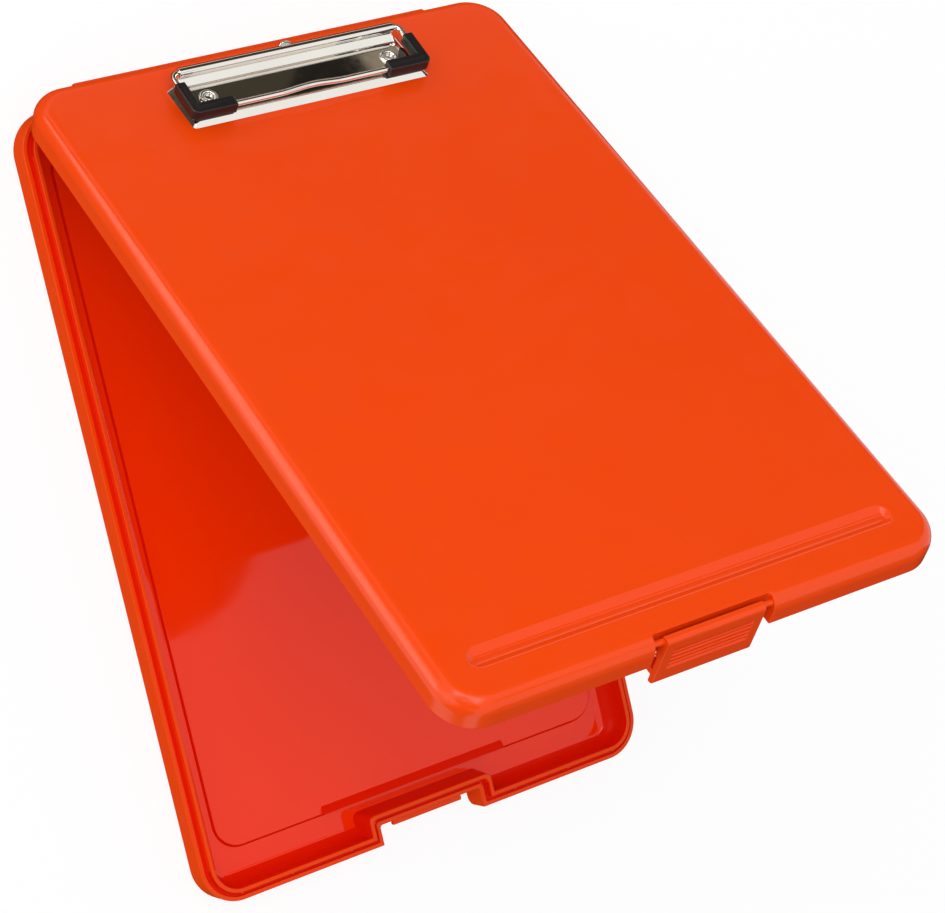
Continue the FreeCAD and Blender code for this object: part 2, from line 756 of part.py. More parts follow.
def move_sketch(sketch, axis, size):
    place_now = sketch.AttachmentOffset
    place_now.Base = place_now.Base + FreeCAD.Vector(size.value, 0, 0)
    sketch.AttachmentOffset = place_now
    sketch.setExpression(".AttachmentOffset.Base." + axis, size.text)


def run_along_x(body, name, y, start, end, radius, cut=False):
    sketch = new_sketch(body, name, "YZ_Plane", start)
    circle(sketch, y, NONE, radius)
    if cut:
        pocket(body, sketch, end - start, reverse=True)
    else:
        pad(body, sketch, end - start)


def run_along_y(body, name, x, start, end, radius, cut=False):
    sketch = new_sketch(body, name, "XZ_Plane", -end)
    circle(sketch, x, NONE, radius)
    if cut:
        pocket(body, sketch, end - start, reverse=True)
    else:
        pad(body, sketch, end - start)


def quarter_bend(body, name, centre_x, centre_y, side, reverse):
    """A quarter turn of wire about an upright axis, from its side towards the rear."""
    sketch = new_sketch(body, name, "XZ_Plane", -centre_y)
    move_sketch(sketch, "x", centre_x)
    circle(sketch, s.bail_bend * side, NONE, s.wire_radius)
    feature = body.newObject("PartDesign::Revolution", name + "Turned")
    feature.Profile = sketch
    feature.ReferenceAxis = (sketch, ["V_Axis"])
    feature.Angle = 90
    feature.Reversed = reverse
    sketch.Visibility = False


# The wire's front corners, hidden inside the grips, are left square
wire_bail = new_body("wire_bail")
tail = s.bail_tail_gap / 2
bend_x = leg_x - s.bail_bend
run_along_x(wire_bail, "LeftTail", NONE, -bend_x, -tail, s.wire_radius)
quarter_bend(wire_bail, "LeftRearBend", -bend_x, -s.bail_bend, -1, True)
run_along_y(wire_bail, "LeftLeg", -leg_x, bar_y - s.wire_radius, -s.bail_bend, s.wire_radius)
bar_end = leg_x + s.wire_radius
run_along_x(wire_bail, "Bar", bar_y, -bar_end, bar_end, s.wire_radius)
run_along_y(wire_bail, "RightLeg", leg_x, bar_y - s.wire_radius, -s.bail_bend, s.wire_radius)
quarter_bend(wire_bail, "RightRearBend", bend_x, -s.bail_bend, 1, False)
run_along_x(wire_bail, "RightTail", NONE, tail, bend_x, s.wire_radius)

def grip(label, sign):
    """A soft L-shaped block moulded round one front corner of the wire."""
    body = new_body(label)
    plan = new_sketch(body, label + "Plan", "XY_Plane")
    wide = leg_x + s.grip_side
    narrow = leg_x - s.grip_side
    tip = leg_x - s.grip_front_leg
    rear = -s.grip_rear_gap
    near = bar_y - s.grip_front
    far = bar_y + s.grip_front
    if sign > 0:
        edges = [("h", near), ("v", wide), ("h", rear), ("v", narrow), ("h", far), ("v", tip)]
        corners = [s.grip_corner, NONE, NONE, NONE, NONE, NONE]
    else:
        edges = [("h", near), ("v", -tip), ("h", far), ("v", -narrow), ("h", rear), ("v", -wide)]
        corners = [NONE, NONE, NONE, NONE, NONE, s.grip_corner]
    outline(plan, edges, corners)
    pad(body, plan, s.grip_height, symmetric=True)
    half = s.grip_height / 2
    chamfer(body, label + "Soft", s.grip_edge, lambda edge: level(edge, half) or level(edge, -half))
    bore = s.wire_radius + s.grip_fit
    run_along_y(body, label + "LegBore", leg_x * sign, bar_y - bore, rear + s.overrun, bore, cut=True)
    if sign > 0:
        run_along_x(body, label + "BarBore", bar_y, tip - s.overrun, leg_x + bore, bore, cut=True)
    else:
        run_along_x(body, label + "BarBore", bar_y, -leg_x - bore, s.overrun - tip, bore, cut=True)
    return body


grip_left = grip("grip_left", -1)
grip_right = grip("grip_right", 1)

# Placements: the bail drops onto the plate, and the whole lid is turned open about the hinge
bar_drop = (roll_z - plate_top - s.grip_height / 2 - s.grip_rest_gap).value
tilt = math.degrees(math.asin(bar_drop / s.bail_reach.value))
across_axis = FreeCAD.Vector(1, 0, 0)
lean = FreeCAD.Rotation(across_axis, tilt)
bail_seat = FreeCAD.Placement(FreeCAD.Vector(0, roll_y.value, roll_z.value), lean)
hinge_point = FreeCAD.Vector(0, hinge_y.value, hinge_z.value)
swing = FreeCAD.Rotation(across_axis, -s.open_angle.value)
opened = FreeCAD.Placement(FreeCAD.Vector(0, 0, 0), swing, hinge_point)
for body in (lid, latch, clip_plate, rivet_left, rivet_right):
    body.Placement = opened
for body in (wire_bail, grip_left, grip_right):
    body.Placement = opened.multiply(bail_seat)

# Tests before anything is written
doc.recompute()
failed = [item.Name for item in doc.Objects if "Invalid" in item.State or "Error" in item.State]
if failed:
    raise RuntimeError("failed objects: " + ", ".join(failed))
bodies = [item for item in doc.Objects if item.TypeId == "PartDesign::Body"]
for body in bodies:
    if body.Shape.isNull() or not body.Shape.isValid() or len(body.Shape.Solids) != 1:
        raise RuntimeError("bad shape: " + body.Label)

os.makedirs("parts", exist_ok=True)
for body in bodies:
    body.Shape.exportStep(os.path.join("parts", body.Label + ".step"))
    box = body.Shape.BoundBox
    print("%-12s %9.1f mm3  z %7.2f to %7.2f" % (body.Label, body.Shape.Volume, box.ZMin, box.ZMax))
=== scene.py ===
"""Looks of a storage clipboard box: moulded tray, hinged writing lid, swinging latch and wire clip.

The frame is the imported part, in metres. The tray lies on the floor, X runs along the hinge, and
the hinge is at +Y. The lid and all that it carries are worked out closed and then turned open.
"""

import math

import bmesh
import bpy
import numpy as np
from bpy.props import FloatProperty, FloatVectorProperty, PointerProperty
from mathutils import Matrix, Vector


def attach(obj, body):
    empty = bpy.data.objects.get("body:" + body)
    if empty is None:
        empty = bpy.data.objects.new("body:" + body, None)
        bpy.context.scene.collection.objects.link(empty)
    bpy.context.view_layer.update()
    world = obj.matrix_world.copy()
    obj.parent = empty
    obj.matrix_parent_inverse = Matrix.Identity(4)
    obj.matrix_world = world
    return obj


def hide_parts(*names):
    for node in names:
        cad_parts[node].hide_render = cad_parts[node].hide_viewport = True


bl_info = {
    "name": "Storage Clipboard Box",
    "version": (1, 0, 0),
    "blender": (4, 5, 0),
    "location": "3D View > Sidebar > Clipboard Box",
    "description": "Builds the visible pieces of a storage clipboard box around its packed part",
    "category": "Object",
}

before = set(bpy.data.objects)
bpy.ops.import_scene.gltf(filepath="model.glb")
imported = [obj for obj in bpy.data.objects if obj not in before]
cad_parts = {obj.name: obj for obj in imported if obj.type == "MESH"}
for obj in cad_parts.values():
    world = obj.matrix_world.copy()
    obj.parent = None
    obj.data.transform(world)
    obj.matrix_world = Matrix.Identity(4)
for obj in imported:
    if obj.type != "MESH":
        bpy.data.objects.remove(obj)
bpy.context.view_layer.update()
MM = 0.001


def length(name, value, text):
    """A property that holds a length, given in millimetres."""
    return FloatProperty(
        name=name, description=text, default=value * MM, min=0.0, precision=5, unit="LENGTH")


def colour(name, value, text):
    """A property that holds a colour."""
    return FloatVectorProperty(
        name=name, description=text, default=value, size=3, min=0.0, max=1.0, subtype="COLOR")


class BoxSizes(bpy.types.PropertyGroup):
    """Sizes that a user would change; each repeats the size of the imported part."""

    width: length("Width", 240.0, "Width of the box along the hinge")
    depth: length("Length", 360.0, "Length of the box from latch to hinge")
    corner: length("Corner radius", 18.0, "Radius of the upright outer corners")
    open_angle: FloatProperty(
        name="Opening", description="How far the lid stands open at rest",
        default=math.radians(44.0), subtype="ANGLE")
    tray_height: length("Tray height", 14.0, "Height of the tray up to its lip")
    tray_round: length("Tray base round", 4.0, "Radius between the tray's wall and its underside")
    floor: length("Floor", 2.2, "Thickness of the tray floor")
    cove: length("Cove", 8.5, "Radius between the tray's inner wall and its floor")
    tongue_top: length("Tongue top", 16.5, "Height of the tongue that the lid drops over")
    tray_notch_half: length("Tray notch half width", 27.75, "Half the width of the tray's notch")
    tray_notch_back: length("Tray notch depth", 9.5, "Depth of the notch in the tray's front wall")
    lid_low: length("Lid underside", 14.3, "Height of the lower edge of the closed lid")
    lid_top: length("Lid top", 28.0, "Height of the top of the closed lid")
    lid_round: length("Lid round", 7.0, "Radius between the lid's skirt and its top")
    lid_notch_half: length("Lid notch half width", 29.0, "Half the width of the lid's notch")
    lid_notch_back: length("Lid notch depth", 5.6, "Depth of the notch in the lid's front")
    groove_half: length("Pen groove half length", 103.0, "Half the length of the pen groove")
    groove_wide: length("Pen groove width", 11.0, "Width of the pen groove")
    groove_deep: length("Pen groove depth", 2.2, "Depth of the pen groove")
    groove_from_front: length("Pen groove place", 21.5, "Middle of the groove behind the front edge")
    hinge_out: length("Hinge offset", 4.6, "Hinge axis behind the rear wall")
    hinge_high: length("Hinge height", 15.0, "Height of the hinge axis")
    barrel: length("Hinge barrel", 4.0, "Outer radius of the hinge knuckles")
    wire: length("Wire radius", 1.35, "Radius of the clip's wire")


class BoxColours(bpy.types.PropertyGroup):
    """Colours of the finishes."""

    # The tray's outer wall and top edges take this colour too, as painted light.
    lid_plastic: colour("Lid", (0.82, 0.058, 0.0004), "Orange of the lid")
    # Painted shade: the tray is the lid's plastic, given a deeper, redder orange for the shade inside
    # it.
    tray_orange_painted_shade: colour("Tray", (0.93, 0.034, 0.0003), "Deeper orange inside the tray")
    # Painted shade: the rim's groove and the tray's inner walls take this redder copy of the plastic.
    shade_painted_red: colour("Tray walls", (0.78, 0.012, 0.0003), "Red of the tray's groove and walls")
    chrome: colour("Chrome", (0.86, 0.83, 0.77), "Plated steel of the clip")
    rubber: colour("Rubber", (0.005, 0.0045, 0.0045), "Black of the grips")
    backdrop: colour("Backdrop", (0.96, 0.96, 0.96), "Floor and surroundings")


# Sizes that several pieces of the clip share

PLATE_RISE, SHEET = 2.6 * MM, 0.9 * MM
ROLL_AHEAD, ROLL_RISE = 17.5 * MM, 7.2 * MM
BAIL_HALF, BAIL_REACH = 58 * MM, 23.5 * MM
GRIP_HALF = 2.7 * MM


# Surfaces


def round_path(corners, reach, steps=6, support=0.12 * MM):
    """Softens the corners of a path.

    Each corner C gives way to the arc between A and B, the points at its reach before and behind
    it: ((1-t)^2 A + 2 w t (1-t) C + t^2 B) / ((1-t)^2 + 2 w t (1-t) + t^2), with w the cosine of
    half the turn. A point a little outside A and B keeps the flats beside the arc flat. Columns
    after the first two follow along.
    """
    corners = np.asarray(corners, float)
    t = np.linspace(0.0, 1.0, steps + 1)[:, None]
    rows = [corners[:1]]
    for k in range(1, len(corners) - 1):
        corner, before, behind = corners[k], corners[k - 1] - corners[k], corners[k + 1] - corners[k]
        span_a, span_b = np.linalg.norm(before[:2]), np.linalg.norm(behind[:2])
        if reach[k] <= 0.0:
            rows.append(corner[None])
            continue
        way_a, way_b = before / span_a, behind / span_b
        turn = math.acos(max(-1.0, min(1.0, float(-(way_a[:2] @ way_b[:2])))))
        w = math.cos(turn / 2)
        first, last = corner + way_a * reach[k], corner + way_b * reach[k]
        weight = (1 - t) ** 2 + 2 * w * t * (1 - t) + t**2
        arc = ((1 - t) ** 2 * first + 2 * w * t * (1 - t) * corner + t**2 * last) / weight
        if span_a - reach[k] > 4 * support:
            rows.append((first + way_a * support)[None])
        rows.append(arc)
        if span_b - reach[k] > 4 * support:
            rows.append((last + way_b * support)[None])
    rows.append(corners[-1:])
    return np.concatenate(rows)


# Where the points of a straight side stand between its two arcs, as shares of its length
LINE_STEPS = np.array([0.012, 0.05, 0.15, 0.3, 0.5, 0.7, 0.85, 0.95, 0.988])


def outline_rings(corners, radii, insets, heights, steps=14):
    """Rings of one outline with square corners, each ring moved in and up on its own.

    In ring r the edge from corner k to the next is moved to its left by insets[r, k], so corner k
    lies where the two moved edges meet. It is rounded by radii[r, k], with the arc of round_path
    for a quarter turn. Returns (rings, points, 3).
    """
    corners = np.asarray(corners, float)
    count = len(corners)
    ways = np.roll(corners, -1, axis=0) - corners
    ways /= np.linalg.norm(ways, axis=1)[:, None]
    left = np.stack([-ways[:, 1], ways[:, 0]], axis=1)
    tips = [
        corners[k] + left[k - 1] * insets[:, k - 1, None] + left[k] * insets[:, k, None]
        for k in range(count)
    ]
    s = LINE_STEPS[None, :, None]
    t = np.linspace(0.0, 1.0, steps + 1)[None, :, None]
    w = math.cos(math.pi / 4)
    weight = (1 - t) ** 2 + 2 * w * t * (1 - t) + t**2
    parts = []
    for k in range(count):
        radius = radii[:, k, None]
        enter, leave = tips[k] - ways[k - 1] * radius, tips[k] + ways[k] * radius
        arc = (1 - t) ** 2 * enter[:, None] + 2 * w * t * (1 - t) * tips[k][:, None]
        parts.append((arc + t**2 * leave[:, None]) / weight)
        after = (k + 1) % count
        reach = tips[after] - ways[k] * radii[:, after, None]
        parts.append(leave[:, None] * (1 - s) + reach[:, None] * s)
    flat = np.concatenate(parts, axis=1)
    high = np.broadcast_to(heights[:, None, None], flat.shape[:2] + (1,))
    return np.concatenate([flat, high], axis=2)


def box_corners(left, right, low, high):
    """Corners of a rectangle, counter-clockwise from its lower left."""
    return np.array([(left, low), (right, low), (right, high), (left, high)], float)


def plain_rings(corners, radius, path, steps=14):
    """Rings of a rounded outline from a path of (inset, height); an inset shrinks the radius."""
    least = 0.02 * MM
    insets = np.repeat(path[:, :1], len(corners), axis=1)
    radii = np.maximum(radius - insets, least)
    return outline_rings(corners, radii, insets, path[:, 1], steps)


def skin(rings):
    """Vertices and four-sided faces of a grid of points whose rings are closed."""
    rows, columns = rings.shape[:2]
    index = np.arange(rows * columns).reshape(rows, columns)
    index = np.concatenate([index, index[:, :1]], axis=1)
    quads = np.stack([index[:-1, :-1], index[:-1, 1:], index[1:, 1:], index[1:, :-1]], axis=2)
    return rings.reshape(-1, 3), quads.reshape(-1, 4)


def lathe(path, steps):
    """A path of (radius, height) turned round the Z axis: x = r cos a, y = r sin a, z = h."""
    angle = np.linspace(0.0, 2 * math.pi, steps, endpoint=False)
    x = path[:, :1] * np.cos(angle)
    y = path[:, :1] * np.sin(angle)
    return np.stack([x, y, np.broadcast_to(path[:, 1:2], x.shape)], axis=2)


def tube(path, radius, steps):
    """A round tube along a path: point + radius (cos a side + sin a up).

    side is way x Z and up is side x way, with way the direction of the path.
    """
    way = np.gradient(path, axis=0)
    way /= np.linalg.norm(way, axis=1)[:, None]
    side = np.cross(way, np.array([0.0, 0.0, 1.0]))
    side /= np.linalg.norm(side, axis=1)[:, None]
    up = np.cross(side, way)
    angle = np.linspace(0.0, 2 * math.pi, steps, endpoint=False)[None, :, None]
    around = np.cos(angle) * side[:, None] + np.sin(angle) * up[:, None]
    return path[:, None] + radius.reshape(-1, 1, 1) * around


def turn(points, angle, centre):
    """Turns points about an axis along X through centre."""
    spot = np.asarray(centre, float)
    c, s = math.cos(angle), math.sin(angle)
    matrix = np.array([[1, 0, 0], [0, c, -s], [0, s, c]])
    return (points - spot) @ matrix.T + spot


def sizes():
    return bpy.context.scene.clip_box_sizes


def colours():
    return bpy.context.scene.clip_box_colours


def open_lid(points):
    """From the closed lid to its place at rest."""
    s = sizes()
    return turn(points, -s.open_angle, (0.0, s.depth / 2 + s.hinge_out, s.hinge_high))


def flat_openings(shape):
    """Edges of the open outlines in their order, those in one plane across an axis together."""
    shape.edges.index_update()
    waiting = {edge for edge in shape.edges if edge.is_boundary}
    groups = {}
    while waiting:
        loop, front = [], [waiting.pop()]
        while front:
            edge = front.pop()
            loop.append(edge)
            near = {other for vert in edge.verts for other in vert.link_edges} & waiting
            waiting -= near
            front.extend(near)
        spots = np.array([vert.co for edge in loop for vert in edge.verts])
        axis = int(np.argmin(np.ptp(spots, axis=0)))
        groups.setdefault((axis, round(float(spots[0, axis]), 6)), []).extend(loop)
    return [sorted(groups[key], key=lambda edge: edge.index) for key in sorted(groups)]


def add_object(name, data):
    thing = bpy.data.objects.new(name, data)
    bpy.context.scene.collection.objects.link(thing)
    return thing


def make_piece(name, grids, finish, body, node, place=None, sharp=35.0, others=()):
    """One mesh from several grids of points, with flat openings filled and faces outward.

    place takes the points to their place at rest, and sharp is the angle in degrees from which an
    edge is hard. others are further finishes, each with a function of the faces' centres and
    normals that picks the faces which take it.
    """
    weld = 0.002 * MM
    verts, faces, first = [], [], 0
    for points, quads in grids:
        verts.append(points)
        faces.append(quads + first)
        first += len(points)
    mesh = bpy.data.meshes.new(name)
    mesh.from_pydata(np.concatenate(verts), [], np.concatenate(faces).tolist())
    shape = bmesh.new()
    shape.from_mesh(mesh)
    bmesh.ops.remove_doubles(shape, verts=shape.verts, dist=weld)
    groups = flat_openings(shape)
    # In metres the fill would leave fine edges open, so it works in millimetres
    bmesh.ops.scale(shape, vec=(1 / MM, 1 / MM, 1 / MM), verts=shape.verts)
    for group in groups:
        bmesh.ops.triangle_fill(shape, edges=group, use_beauty=True)
    bmesh.ops.scale(shape, vec=(MM, MM, MM), verts=shape.verts)
    bmesh.ops.recalc_face_normals(shape, faces=shape.faces)
    left_open = sum(edge.is_boundary for edge in shape.edges)
    if left_open:
        raise RuntimeError(f"{name} has {left_open} open edges")
    shape.to_mesh(mesh)
    shape.free()
    if place is not None:
        spots = np.empty(len(mesh.vertices) * 3)
        mesh.vertices.foreach_get("co", spots)
        mesh.vertices.foreach_set("co", place(spots.reshape(-1, 3)).ravel())
    mesh.polygons.foreach_set("use_smooth", [True] * len(mesh.polygons))
    mesh.set_sharp_from_angle(angle=math.radians(sharp))
    mesh.materials.append(bpy.data.materials[finish])
    centres, normals = np.empty(len(mesh.polygons) * 3), np.empty(len(mesh.polygons) * 3)
    mesh.polygons.foreach_get("center", centres)
    mesh.polygons.foreach_get("normal", normals)
    picked = np.zeros(len(mesh.polygons), np.int32)
    for number, (other, chosen) in enumerate(others, 1):
        mesh.materials.append(bpy.data.materials[other])
        picked[chosen(centres.reshape(-1, 3), normals.reshape(-1, 3))] = number
    mesh.polygons.foreach_set("material_index", picked)
    mesh.update()
    piece = add_object(name, mesh)
    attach(piece, body)
    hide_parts(node)


# Finishes


def add_node(tree, kind, values=None):
    """A shader node with values for some of its inputs."""
    node = tree.nodes.new("ShaderNode" + kind)
    for socket, value in (values or {}).items():
        node.inputs[socket].default_value = value
    return node


def fresh_tree(owner, kind="OutputMaterial"):
    """A material's or world's node tree with its output node alone, and that node's surface."""
    owner.use_nodes = True
    tree = owner.node_tree
    tree.nodes.clear()
    return tree, add_node(tree, kind).inputs["Surface"]


def noise(tree, scale, detail):
    """Noise on Object coordinates, so it stays on the piece."""
    spot = add_node(tree, "TexCoord")
    grain = add_node(tree, "TexNoise", {"Scale": scale, "Detail": detail})
    tree.links.new(spot.outputs["Object"], grain.inputs["Vector"])
    return grain.outputs["Fac"]


def spread(tree, source, low, high):
    """Maps a value from 0.3 ... 0.7, where most of a noise lies, to low ... high."""
    node = add_node(tree, "MapRange", {
        "From Min": 0.3, "From Max": 0.7, "To Min": low, "To Max": high})
    tree.links.new(source, node.inputs["Value"])
    return node.outputs["Result"]


def tint(tree, source, base, other):
    """Blends two colours by a value."""
    node = add_node(tree, "Mix")
    node.data_type = "RGBA"
    node.inputs["A"].default_value = (*base, 1.0)
    node.inputs["B"].default_value = (*other, 1.0)
    tree.links.new(source, node.inputs["Factor"])
    return node.outputs["Result"]


def new_finish(name, base, shade, gloss, clouds, wear, grain=None, values=None):
    """A finish with clouds in its colour, a gloss that varies and, if it has one, a fine grain.

    The clouds go from the base colour to that times shade, and gloss is the least and the most
    roughness. clouds and wear are the scale and detail of their noise. grain is its scale, its
    strength and its height. values are for other inputs of the shader.
    """
    material = bpy.data.materials.get(name) or bpy.data.materials.new(name)
    tree, surface = fresh_tree(material)
    shader = add_node(tree, "BsdfPrincipled", {
        "Base Color": (*base, 1.0), "Roughness": gloss[0], **(values or {})})
    tree.links.new(shader.outputs[0], surface)
    other = [channel * share for channel, share in zip(base, shade)]
    tree.links.new(tint(tree, noise(tree, *clouds), base, other), shader.inputs["Base Color"])
    tree.links.new(spread(tree, noise(tree, *wear), *gloss), shader.inputs["Roughness"])
    if grain:
        scale, strength, height = grain
        bump = add_node(tree, "Bump", {"Strength": strength, "Distance": height})
        tree.links.new(noise(tree, scale, 2.0), bump.inputs["Height"])
        tree.links.new(bump.outputs["Normal"], shader.inputs["Normal"])


class CLIPBOX_OT_finishes(bpy.types.Operator):
    """Makes the finishes that the pieces share"""

    bl_idname = "clipbox.finishes"
    bl_label = "Finishes"

    def execute(self, context):
        c = colours()
        plastics = (
            # Painted shade: the tray's body is a deeper orange than the lid
            ("GlossyTrayWithPaintedShade", c.tray_orange_painted_shade, (0.03, 0.06), 0.37, 900.0, 0.004 * MM),
            # Painted shade: redder still on the groove and the inner walls
            ("RedPaintedShade", c.shade_painted_red, (0.20, 0.28), 0.06, 1200.0, 0.01 * MM),
            # Painted light: the tray's outer wall and top edges in the lid's lighter orange
            ("OrangePaintedLight", c.lid_plastic, (0.20, 0.28), 0.20, 1200.0, 0.02 * MM),
            ("OrangeSatin", c.lid_plastic, (0.17, 0.23), 0.36, 1500.0, 0.01 * MM),
        )
        for name, base, gloss, gleam, scale, height in plastics:
            new_finish(
                name, base, (0.965, 0.90, 1.0), gloss, clouds=(14.0, 3.0), wear=(60.0, 5.0),
                grain=(scale, 0.25, height), values={"IOR": 1.48, "Specular IOR Level": gleam})
        for name, gloss in (("Chrome", (0.03, 0.06)), ("BrightSteel", (0.14, 0.22))):
            new_finish(
                name, c.chrome, (0.93, 0.93, 0.93), gloss, clouds=(40.0, 2.0), wear=(220.0, 4.0),
                values={"Metallic": 1.0})
        new_finish(
            "BlackRubber", c.rubber, (1.9, 1.9, 1.9), (0.30, 0.44), clouds=(90.0, 3.0),
            wear=(90.0, 3.0), grain=(1800.0, 0.2, 0.04 * MM))
        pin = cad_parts["hinge_pin"]
        pin.data.materials.clear()
        pin.data.materials.append(bpy.data.materials["BrightSteel"])
        return {"FINISHED"}


# Pieces


def notched_corners(s, half, back):
    """The box outline with a notch in its front, counter-clockwise from the notch's left crest."""
    x, y = s.width / 2, s.depth / 2
    return np.array([
        (-half, -y), (-half, back - y), (half, back - y), (half, -y),
        (x, -y), (x, y), (-x, y), (-x, -y)], float)


def notched_rings(s, half, back, path, front_inset=1.0):
    """Rings of the notched outline.

    The path's columns are inset, height, and how far the notch's sides and its back have moved
    into the wall. Along the front, what an inset has beyond front_inset counts 0.55 times. Where
    the front edge has moved past the notch, the notch closes into it.
    """
    front_share, notch_round, widening = 0.55, 1.5 * MM, 0.25
    crest_round, least = 0.35 * MM, 0.05 * MM
    inset, height, side, behind = path.T
    behind = np.maximum(behind, inset - back)
    ahead = np.minimum(inset, front_inset + (inset - front_inset) * front_share)
    insets = np.stack([side, behind, side, ahead, inset, inset, inset, ahead], axis=1)
    room = np.maximum(back + behind - ahead, 0.0)
    crest = np.minimum(crest_round, room / 2)
    inner = np.minimum(notch_round + side * widening, np.maximum(room - crest, 0.0))
    outer = np.maximum(s.corner - inset, least)
    radii = np.stack([crest, inner, inner, crest, outer, outer, outer, outer], axis=1)
    return outline_rings(notched_corners(s, half, back), radii, insets, height)


def rounded_bar(left, right, low, high, bottom, top, radius, edge):
    """A bar from left to right, low to high along Y, and bottom to top.

    The radius rounds its plan corners, and edge softens its top and bottom.
    """
    path = round_path(
        [(edge, bottom), (0.0, bottom), (0.0, top), (edge, top)],
        [0, edge, edge, 0], steps=4, support=0.0)
    return skin(plain_rings(box_corners(left, right, low, high), radius, path, steps=6))


def barrel(s, left, right, web_low, web_high, inside):
    """A hinge knuckle: a bored barrel turned round the hinge axis, and the web that carries it."""
    bore, soft = 1.39 * MM, 0.3 * MM
    path = round_path(
        [(bore, right), (s.barrel, right), (s.barrel, left), (bore, left), (bore, right)],
        [0, soft, soft, 0, 0], steps=4)
    turned = lathe(path, 40)
    y = s.depth / 2 + s.hinge_out
    turned = np.stack([turned[..., 2], turned[..., 0] + y, turned[..., 1] + s.hinge_high], axis=2)
    web_front, web_rear = s.depth / 2 - inside, y - bore * 1.3
    web = rounded_bar(left, right, web_front, web_rear, web_low, web_high, soft, soft)
    return [skin(turned), web]


class CLIPBOX_OT_tray(bpy.types.Operator):
    """Builds the tray: wall, rim with its lip, groove and tongue, floor panel, stop and knuckles"""

    bl_idname = "clipbox.tray"
    bl_label = "Tray"

    def execute(self, context):
        s = sizes()
        x, y = s.width / 2, s.depth / 2
        lip, groove, inner = 2.0 * MM, 4.0 * MM, 6.0 * MM
        soft, tight, crest, crest_inside = 0.45 * MM, 0.3 * MM, 0.5 * MM, 0.6 * MM
        low = s.tray_height - 1.2 * MM
        start, foot = s.tray_round + 0.3 * MM, inner + s.cove + 0.3 * MM
        notch_foot = inner + 1.0 * MM
        wall = round_path(
            [
                (start, 0.0, 0.0), (0.0, 0.0, 0.0),
                (0.0, s.tray_height, 0.0), (lip, s.tray_height, lip), (lip, low, lip),
                (groove, low, groove), (groove, s.tongue_top, groove),
                (inner, s.tongue_top, inner), (inner, s.floor, notch_foot),
                (foot, s.floor, notch_foot),
            ],
            [0, s.tray_round, soft, tight, tight, tight, crest, crest_inside, s.cove, 0], steps=8)
        path = np.column_stack([wall, wall[:, 2]])
        grids = [skin(notched_rings(s, s.tray_notch_half, s.tray_notch_back, path, inner))]

        # The floor's raised panel; its sides lean by the draft, and its front more
        side, ahead, draft, front_lean = 16 * MM, 21.5 * MM, 0.5 * MM, 2.2
        top, rim, panel_round = s.floor + 1.6 * MM, 1.6 * MM, 12 * MM
        panel = round_path(
            [(-draft, s.floor), (0.0, top), (rim, top)], [0, tight, 0], steps=4, support=0.1 * MM)
        outline = box_corners(side - x, x - side, ahead - y, y - side)
        insets = np.repeat(panel[:, :1], 4, axis=1)
        insets[:, 0] = np.where(insets[:, 0] < 0, insets[:, 0] * front_lean, insets[:, 0])
        radii = np.repeat(panel_round - panel[:, :1], 4, axis=1)
        grids.append(skin(outline_rings(outline, radii, insets, panel[:, 1])))

        # The stop along the panel's front, a wedge that falls away to the rear
        stop_half, stop_deep, stop_high, fall = 50 * MM, 3.6 * MM, 2.4 * MM, 0.96
        points, quads = rounded_bar(
            -stop_half, stop_half, ahead - y, ahead + stop_deep - y,
            s.floor + 0.4 * MM, top + stop_high, 0.4 * MM, 0.15 * MM)
        slope = (points[:, 1] + y - ahead) / stop_deep
        points[:, 2] -= np.where(points[:, 2] > top, slope * (points[:, 2] - top) * fall, 0.0)
        grids.append((points, quads))

        # Small ribs on the tongue, in the front groove
        rib_half, rib_reach = 0.6 * MM, 0.8 * MM
        rib_low, rib_high = low - 0.2 * MM, low + 2.45 * MM
        for share in (-0.86, -0.64, -0.38, 0.38, 0.64, 0.86):
            centre = x * share
            grids.append(rounded_bar(
                centre - rib_half, centre + rib_half, groove - rib_reach - y,
                groove + rib_reach - y, rib_low, rib_high, tight, 0.2 * MM))

        # The bar in the notch that the latch's hook catches, and the two knuckles
        back, catch_half, catch_low, catch_high = s.tray_notch_back - y, 19 * MM, 7.9 * MM, 10.1 * MM
        grids.append(rounded_bar(
            -catch_half, catch_half, back - 3.2 * MM, back + 2.0 * MM,
            catch_low, catch_high, 0.5 * MM, 0.4 * MM))
        near, far, web_low, web_high = 50 * MM, 90 * MM, 11.25 * MM, 13.85 * MM
        grids += barrel(s, -far, -near, web_low, web_high, lip)
        grids += barrel(s, near, far, web_low, web_high, lip)

        def from_outside(centres):
            """How far each face lies inside the outline, its corners and its notch."""
            across, along = np.abs(centres[:, 0]), np.abs(centres[:, 1])
            inset = np.minimum(x - across, y - along)
            past_x, past_y = across - x + s.corner, along - y + s.corner
            corner = (past_x > 0) & (past_y > 0)
            inset = np.where(corner, s.corner - np.hypot(past_x, past_y), inset)
            notch = np.maximum(across - s.tray_notch_half, centres[:, 1] - back)
            return np.where(centres[:, 1] < 0, np.minimum(inset, notch), inset)

        def edges(centres, normals):
            """The outer wall, the lip's top and the tongue's top, which take the lid's lighter orange as
            painted light.
            """
            high = centres[:, 2] > s.tray_height - 0.3 * MM
            return (from_outside(centres) < 0.4 * MM) | (high & (normals[:, 2] > 0.5))

        def shaded(centres, normals):
            """The groove of the rim, and the walls and slopes inside, which take a redder orange as
            painted shade.
            """
            inset = from_outside(centres)
            groove_floor = (inset > lip) & (inset < groove) & (centres[:, 2] < s.tray_height)
            return groove_floor | ((inset > groove) & (normals[:, 2] < 0.9))

        # The body takes painted shade, the groove and inner walls a redder painted shade, and the outer
        # wall and top edges painted light.
        make_piece(
            "tray_shell", grids, "GlossyTrayWithPaintedShade", "tray", "tray",
            others=(("RedPaintedShade", shaded), ("OrangePaintedLight", edges)))
        return {"FINISHED"}


